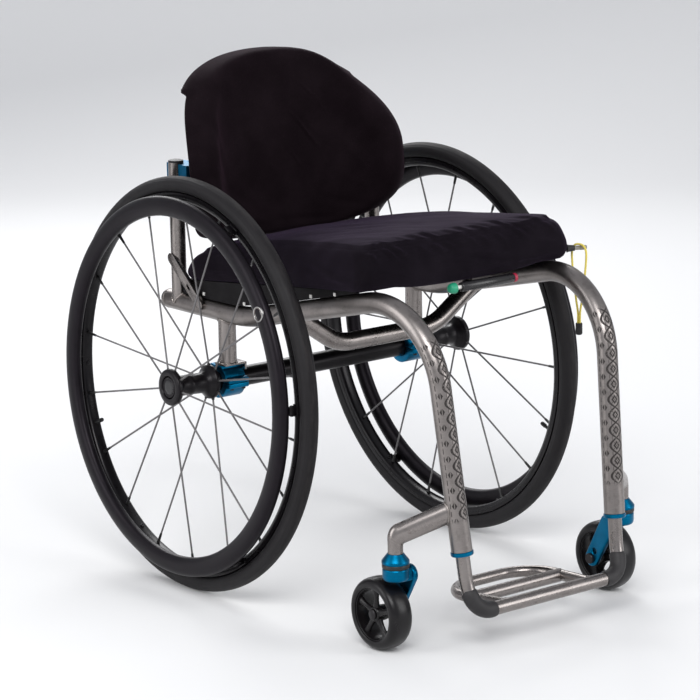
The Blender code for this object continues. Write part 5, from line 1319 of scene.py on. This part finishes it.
def fold(point, start, end, width, depth):
    """How far a crease between two points lifts the cloth here: a crest with a hollow on each side."""
    along = end - start
    share = held((point - start).dot(along) / along.length_squared)
    gap = (point - start - along * share).length
    if gap > width * 5:
        return 0.0
    ease = sin(pi * (0.08 + 0.84 * share))
    return depth * ease * (exp(-((gap / width) ** 2)) - 0.5 * exp(-((gap / (width * 2.2)) ** 2)))


# Creases of the backrest's cover in millimetres: from x, z, to x, z, width and depth
PAD_CREASES = mm(
    (12, 652, 26, 640, 2.2, -2.2),
    (26, 640, 60, 596, 2.4, -4.4),
    (34, 640, 68, 598, 4.0, 2.2),
    (36, 692, 66, 664, 2.2, -2.6),
    (66, 664, 82, 640, 2.2, -2.0),
    (6, 600, 30, 566, 2.6, -1.6),
    (100, 606, 130, 556, 5.0, -1.8),
    (-158, 668, -112, 552, 8.0, 3.0),
    (-178, 640, -138, 512, 7.0, -2.2),
    (-120, 560, -50, 510, 8.0, 2.0),
    (-40, 498, 100, 486, 5.5, 2.0),
    (-130, 515, -20, 494, 5.5, -1.8),
    (60, 520, 140, 500, 6.0, 1.6),
)


def crease_pad(part):
    """Pulls and creases in the stretched cover."""
    creases = [(Vector((a, b, 0)), Vector((c, d, 0)), *size) for a, b, c, d, *size in PAD_CREASES]
    for vert in part.verts:
        x, y, z = vert.co
        weight = held((back_y(x, z) - y - 0.012) / 0.02)
        if weight == 0.0:
            continue
        pull = sum(fold(Vector((x, z, 0)), *crease) for crease in creases)
        pull += noise.noise(Vector((x * 13, z * 13, 3.1))) * 0.0022
        pull += noise.noise(Vector((x * 40, z * 52, 7.7))) * 0.0006
        vert.co.y += pull * weight


def bracket_screws(name, side):
    spots = [(side * 0.1805, POST_Y + 0.0005, z) for z in (0.535, 0.578)]
    heads = [aimed(spot, (side, 0, 0)) for spot in spots]
    screws(f"{name}_bracket_screws", "frame", heads, 0.0036, 0.0024)


backrest()
on_both_sides(bracket_screws)


# Seat pan and cushion


def cushion_outline(inset, count, bend=20):
    """The cushion's plan, inset. All but its front side are drawn in between the corners."""
    half = CUSHION_HALF - inset
    front = CUSHION_FRONT + inset
    rear = CUSHION_REAR - inset
    middle_y = (front + rear) / 2
    corners = ((half, rear, 0.035), (-half, rear, 0.035), (-half, front, 0.020), (half, front, 0.020))
    corners = [(x, y, min(radius + inset * 0.55, half * 0.95)) for x, y, radius in corners]
    straight = count // 4 - bend - 1
    points = []
    for i, (x, y, radius) in enumerate(corners):
        centre = (x - copysign(radius, x), y - copysign(radius, y - middle_y))
        points += arc(centre, radius, i * QUARTER, (i + 1) * QUARTER, bend)
        x, y, radius = corners[(i + 1) % 4]
        here = Vector(points[-1])
        if i % 2 == 0:
            there = Vector((x - copysign(radius, x), y))
        else:
            there = Vector((x, y - copysign(radius, y - middle_y)))
        inward = (there - here).orthogonal().normalized()
        for k in range(1, straight + 1):
            share = k / (straight + 1)
            draw = 0 if i == 2 else 0.005 * sin(pi * share)
            points.append(tuple(here.lerp(there, share) + inward * draw))
    return points


def cushion_under(x, y):
    """The height of the cushion's underside. It sags a little at the middle of its front."""
    edge = max(0.0, (CUSHION_FRONT + 0.033 - y) / 0.033)
    seat_top = 0.4275 + 0.1049 * (0.080 - y)
    return seat_top + GAP - 0.0075 * edge * max(0.0, 1 - (abs(x) / 0.125) ** 4)


def cushion_point(x, y, share, crown):
    rearward = max(0.0, (y + 0.190) / (CUSHION_REAR + 0.190))
    thickness = 0.060 - 0.026 * rearward**2.2
    return Vector((x, y, cushion_under(x, y) + thickness * share + crown))


def cushion_row(inset, share, crown, count):
    outline = cushion_outline(inset, count)
    return lambda angle: cushion_point(*outline[round(angle / TAU * count - 0.5) % count], share, crown)


def cushion_pole(share, crown):
    place = cushion_point(0, (CUSHION_FRONT + CUSHION_REAR) / 2, share, crown)
    return lambda angle: place


def cushion_folds():
    """Creases of the cushion's cover: pleats over the front edge, and drags across the front and sides."""
    front = CUSHION_FRONT
    folds = []
    for i in range(13):
        x = -0.176 + 0.0285 * i + 0.006 * sin(i * 2.3)
        depth = 0.0042 + 0.0016 * sin(i * 1.7)
        width = 0.0042 + 0.001 * cos(i * 2.9)
        reach = 0.046 + 0.018 * sin(i * 3.1)
        top = Vector((x - 0.030, front + reach, 0.540))
        edge = Vector((x, front + 0.012, 0.530))
        low = Vector((x + 0.020, front + 0.002, 0.510))
        folds += [(top, edge, width, depth), (edge, low, width, depth)]
    for x, z, far_x, far_z, width, depth in mm(
        (-74, 513, 82, 480, 3.4, -5.2), (-70, 521, 90, 487, 4.0, 4.0), (-60, 498, 30, 486, 5.0, -2.4),
        (62, 482, 160, 484, 4.0, 3.2), (90, 512, 168, 496, 4.6, 2.6), (-182, 484, -120, 474, 4.4, 3.2),
        (-150, 498, -85, 476, 5.0, 2.2), (-10, 474, 80, 472, 4.0, -2.0),
    ):
        folds.append((Vector((x, front, z)), Vector((far_x, front, far_z)), width, depth))
    for side in (-1, 1):
        x = side * (CUSHION_HALF - 0.002)
        for y, z, far_y, far_z in mm(
            (50, 452, -20, 455), (-60, 480, -150, 470), (-180, 500, -300, 482), (-220, 478, -325, 486),
            (-10, 466, -90, 486),
        ):
            folds.append((Vector((x, y, z)), Vector((x, far_y, far_z)), 0.0048, 0.0028))
    return folds


def seat_cushion():
    crown = 0.011
    count = 352
    rows = [cushion_pole(1.0, crown)]
    for i in range(40):
        inset = 0.146 - (0.146 - 0.018) * i / 39
        lift = crown * (1 - ((0.16 - inset) / 0.16) ** 3)
        rows.append(cushion_row(inset, 1.0 - 0.06 * max(0, (0.03 - inset) / 0.03) ** 2, lift, count))
    side_rows = (
        (0.0145, 0.955), (0.0115, 0.915), (0.009, 0.865), (0.007, 0.805), (0.0054, 0.740), (0.0041, 0.670),
        (0.003, 0.600), (0.002, 0.530), (0.0011, 0.460), (0.0004, 0.390), (0.0, 0.320), (0.0, 0.250),
        (0.0006, 0.180), (0.0018, 0.110), (0.0034, 0.050), (0.0056, 0.010),
    )
    for (inset, share), (next_inset, next_share) in zip(side_rows, side_rows[1:]):
        rows.append(cushion_row(inset, share, 0.0, count))
        rows.append(cushion_row((inset + next_inset) / 2, (share + next_share) / 2, 0.0, count))
    rows.append(cushion_row(*side_rows[-1], 0.0, count))
    rows += [cushion_row(inset, 0.0, 0.0, count) for inset in (0.009, 0.020, 0.040, 0.070, 0.105, 0.146)]
    rows.append(cushion_pole(0.0, 0.0))
    part = spread(rows, count)
    part.normal_update()
    folds = cushion_folds()
    moves = []
    for vert in part.verts:
        x, y, z = vert.co
        loose = held((z - cushion_under(x, y)) / 0.008)
        if loose == 0.0:
            continue
        lift = sum(fold(vert.co, *crease) for crease in folds)
        lift += noise.noise(Vector((x * 15, y * 12, z * 20))) * 0.0022
        lift += noise.noise(Vector((x * 38 + y * 26, y * 18, z * 30 + 4.2))) * 0.0009
        moves.append((vert, vert.normal * (lift - 0.0012) * loose))
    for vert, move in moves:
        vert.co += move
    bm = joined(bmesh.new(), part)
    cushion = piece("seat_cushion", bm, "cushion_cover", "frame", 180, "cushion")


def pan_details():
    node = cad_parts["seat_pan"]
    weld = node.modifiers.new("weld", "WELD")
    weld.merge_threshold = 1e-5
    bevel = node.modifiers.new("bevel", "BEVEL")
    bevel.width = 0.0008
    bevel.segments = 2
    bevel.limit_method = "ANGLE"
    bevel.angle_limit = radians(40)
    bm = bmesh.new()
    studs = mm((29, 414), (-65.8, 414), (-115, 424), (-163, 434.5), (-211.8, 446.4), (-262.2, 456.6))
    half = 0.0024
    for side in (-1, 1):
        for y, z in studs:
            x = on_side_tube(y)[0].x + 0.0085
            low = mirrored((x - 0.0004, y - half, z - half), side)
            block(bm, low, mirrored((x + 0.0012, y + half, z + half), side), 0.0004)
    piece("seat_pan_studs", bm, "pale_studs", "frame")


seat_cushion()
pan_details()


# Valves and cord


def slide_valve():
    """The valve's barrel lies across the front of the cushion's underside, a little clear of it."""
    y = -0.3425
    radius, clearance = 0.0067, 0.0014
    edge = CUSHION_FRONT + 0.0045
    level = cushion_under(0, edge) - sqrt((radius + clearance) ** 2 - (y - edge) ** 2)
    place = Matrix.Translation((-0.0172, y, level))
    barrel = mm(
        (0, 3), (0, 5.6), (0.6, 6.2), (3, 6.4), (3.6, 6.7), (89.4, 6.7), (90, 6.4), (92.4, 6.2),
        (93, 5.6), (93, 3),
    )
    turned_piece("valve_barrel", barrel, 48, place, "valve_barrel", "frame", 35, "slide_valve_barrel")
    body = "slide_valve_rod"
    rod = mm((-8.5, 0), (-8.5, 2.8), (93.5, 2.8), (93.5, 0))
    turned_piece("valve_push_rod", rod, 32, place, "white_plastic", body, 35, "slide_valve_rod")
    knob = mm(
        (-20.3, 0), (-20.3, 3.4), (-19.6, 5.2), (-18, 6.4), (-16.5, 6.9), (-13, 7.5), (-10, 7.4),
        (-8.8, 6.2), (-8.3, 4.7), (-8.3, 0),
    )
    turned_piece("valve_knob", knob, 48, place, "green_plastic", body, 40)
    cap = mm((93.3, 0), (93.3, 6), (94, 6.2), (97.8, 6.1), (98.8, 5.2), (99.3, 4), (99.3, 0))
    turned_piece("valve_end_cap", cap, 48, place, "red_plastic", body, 40)


def air_valve():
    """The valve at the cushion's front left corner. Gives where it starts and which way it points."""
    corner_radius, sunk = 0.020, 0.0006
    out = Vector((cos(radians(-25)), sin(radians(-25)), 0))
    start = Vector((CUSHION_HALF - corner_radius, CUSHION_FRONT + corner_radius, 0.483))
    start += out * (corner_radius - sunk)
    place = aimed(start, out)
    boot = mm((0, 0), (0, 5.6), (1, 5.6), (1.6, 5), (6, 4.6), (9, 4.3), (11, 4.1), (11, 0))
    turned_piece("air_valve_boot", boot, 40, place, "sleeve_rubber", "air_valve", 40, "air_valve")
    stem = mm((10, 0), (10, 3), (19, 3), (19.3, 3.3), (28, 3.3), (28.8, 2.6), (29, 0))
    bm = turned(bmesh.new(), stem, 32, place)
    for k in range(7):
        oval_ring(bm, 0.0202 + 0.0011 * k, 0.0031, 0.00035, 0.00025, 6, 32, place)
    piece("air_valve_stem", bm, "valve_stem", "air_valve", 40)
    return start, out


def smooth_points(route, spacing):
    """Points along a smooth curve through the route, about this far apart."""
    ends = [route[0] * 2 - route[1], *route, route[-1] * 2 - route[-2]]
    fine = []
    for i in range(1, len(ends) - 2):
        a, b, c, d = ends[i - 1 : i + 3]
        for k in range(16):
            t = k / 16
            square = (2 * a - 5 * b + 4 * c - d) * t**2
            cube = (3 * b - a - 3 * c + d) * t**3
            fine.append(0.5 * (2 * b + (c - a) * t + square + cube))
    fine.append(route[-1].copy())
    spaced = [fine[0]]
    for point in fine[1:-1]:
        if (point - spaced[-1]).length >= spacing:
            spaced.append(point)
    if (fine[-1] - spaced[-1]).length < spacing / 2:
        spaced.pop()
    return spaced + [fine[-1]]


def loop_cord(start, out):
    """The looped cord: up from its toggle, over the valve stem and down to the toggle again."""
    radius, stem_radius, hung_at = 0.0015, 0.0033, 0.018
    top = start + out * hung_at + UP * (stem_radius + GAP + radius)
    sideways = Vector((cos(radians(-75)), sin(radians(-75)), 0))
    half = mm(
        (0, 0), (5.2, -0.7), (9.8, -4.8), (11.8, -13), (10.974, -30), (8.024, -56), (4.72, -80),
        (1.8, -98), (1.8, -118), (1.8, -126),
    )
    flat = [(-x, z) for x, z in half[:0:-1]] + half
    path = smooth_points([top + sideways * x + UP * z for x, z in flat], 0.0025)
    bm = swept(bmesh.new(), path, radius, 14, lean=out)
    cord = piece("looped_cord", bm, "braided_yellow", "frame", 80, "valve_cord")
    place = aimed(top + UP * (half[-1][1] - GAP), UP, "Y")
    toggle = mm(
        (-3, 0), (-3, 3.2), (-2.4, 4.3), (-1.2, 4.9), (6, 4.9), (6.4, 4.6), (6.8, 4.9), (12.8, 4.8),
        (13.8, 4.4), (14, 3.7), (13.2, 3.4), (0, 3.4), (0, 0),
    )
    end = turned_piece("cord_end_toggle", toggle, 36, place, "black_plastic", "frame", 40, "cord_toggle")


slide_valve()
loop_cord(*air_valve())


# CAD pieces that stay in sight get their finish here

KEPT = {"seat_pan": "seat_pan_sheet", "left_back_bracket": "blue_blocks", "right_back_bracket": "blue_blocks"}
for node_name, finish_name in KEPT.items():
    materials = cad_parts[node_name].data.materials
    materials.clear()
    materials.append(FINISHES[finish_name].material)


# Floor and light


def backdrop():
    """A pale sheet that runs over the floor and up behind the chair."""
    part = bmesh.new()
    run = [(-8.0, 0.0), (3.2, 0.0), *arc((3.2, 1.6), 1.6, -QUARTER, 0, 18)[1:-1], (4.8, 6.0)]
    corners = [part.verts.new((-9, y, z)) for y, z in run]
    edges = [part.edges.new(pair) for pair in zip(corners, corners[1:])]
    grown = bmesh.ops.extrude_edge_only(part, edges=edges)["geom"]
    bmesh.ops.translate(part, verts=points_in(grown), vec=(18, 0, 0))
    part.transform(Matrix.Rotation(radians(-37.7), 4, "Z"))
    bmesh.ops.recalc_face_normals(part, faces=part.faces)
    mesh = bpy.data.meshes.new("floor")
    part.to_mesh(mesh)
    part.free()
    mesh.shade_smooth()
    paper = bpy.data.materials.new("paper")
    paper.use_nodes = True
    shader = paper.node_tree.nodes["Principled BSDF"]
    shader.inputs["Base Color"].default_value = (0.80, 0.80, 0.80, 1)
    shader.inputs["Roughness"].default_value = 0.9
    mesh.materials.append(paper)
    placed("floor", mesh)


def light():
    """Four soft lamps and a pale sky."""
    for name, place, target, size, power in (
        ("key", (-2.2, -2.6, 3.0), (0.0, 0.0, 0.45), (2.4, 1.6), 105),
        ("front", (1.8, -3.0, 1.5), (0.0, 0.0, 0.40), (1.4, 2.2), 42),
        ("back", (1.2, 2.6, 2.2), (0.0, 0.0, 0.50), (2.2, 1.4), 55),
        ("left", (-3.0, 0.8, 1.3), (0.0, 0.0, 0.40), (1.6, 2.2), 36),
    ):
        lamp = bpy.data.lights.new(name, "AREA")
        lamp.shape = "RECTANGLE"
        lamp.size, lamp.size_y = size
        lamp.energy = power
        aim = (Vector(target) - Vector(place)).to_track_quat("-Z", "Y")
        placed(name, lamp).matrix_world = Matrix.Translation(place) @ aim.to_matrix().to_4x4()
    world = bpy.data.worlds.new("studio")
    world.use_nodes = True
    sky = world.node_tree.nodes["Background"]
    sky.inputs["Color"].default_value = (0.92, 0.94, 1.0, 1)
    sky.inputs["Strength"].default_value = 0.55
    scene.world = world
    scene.view_settings.view_transform = "Standard"


backdrop()
light()
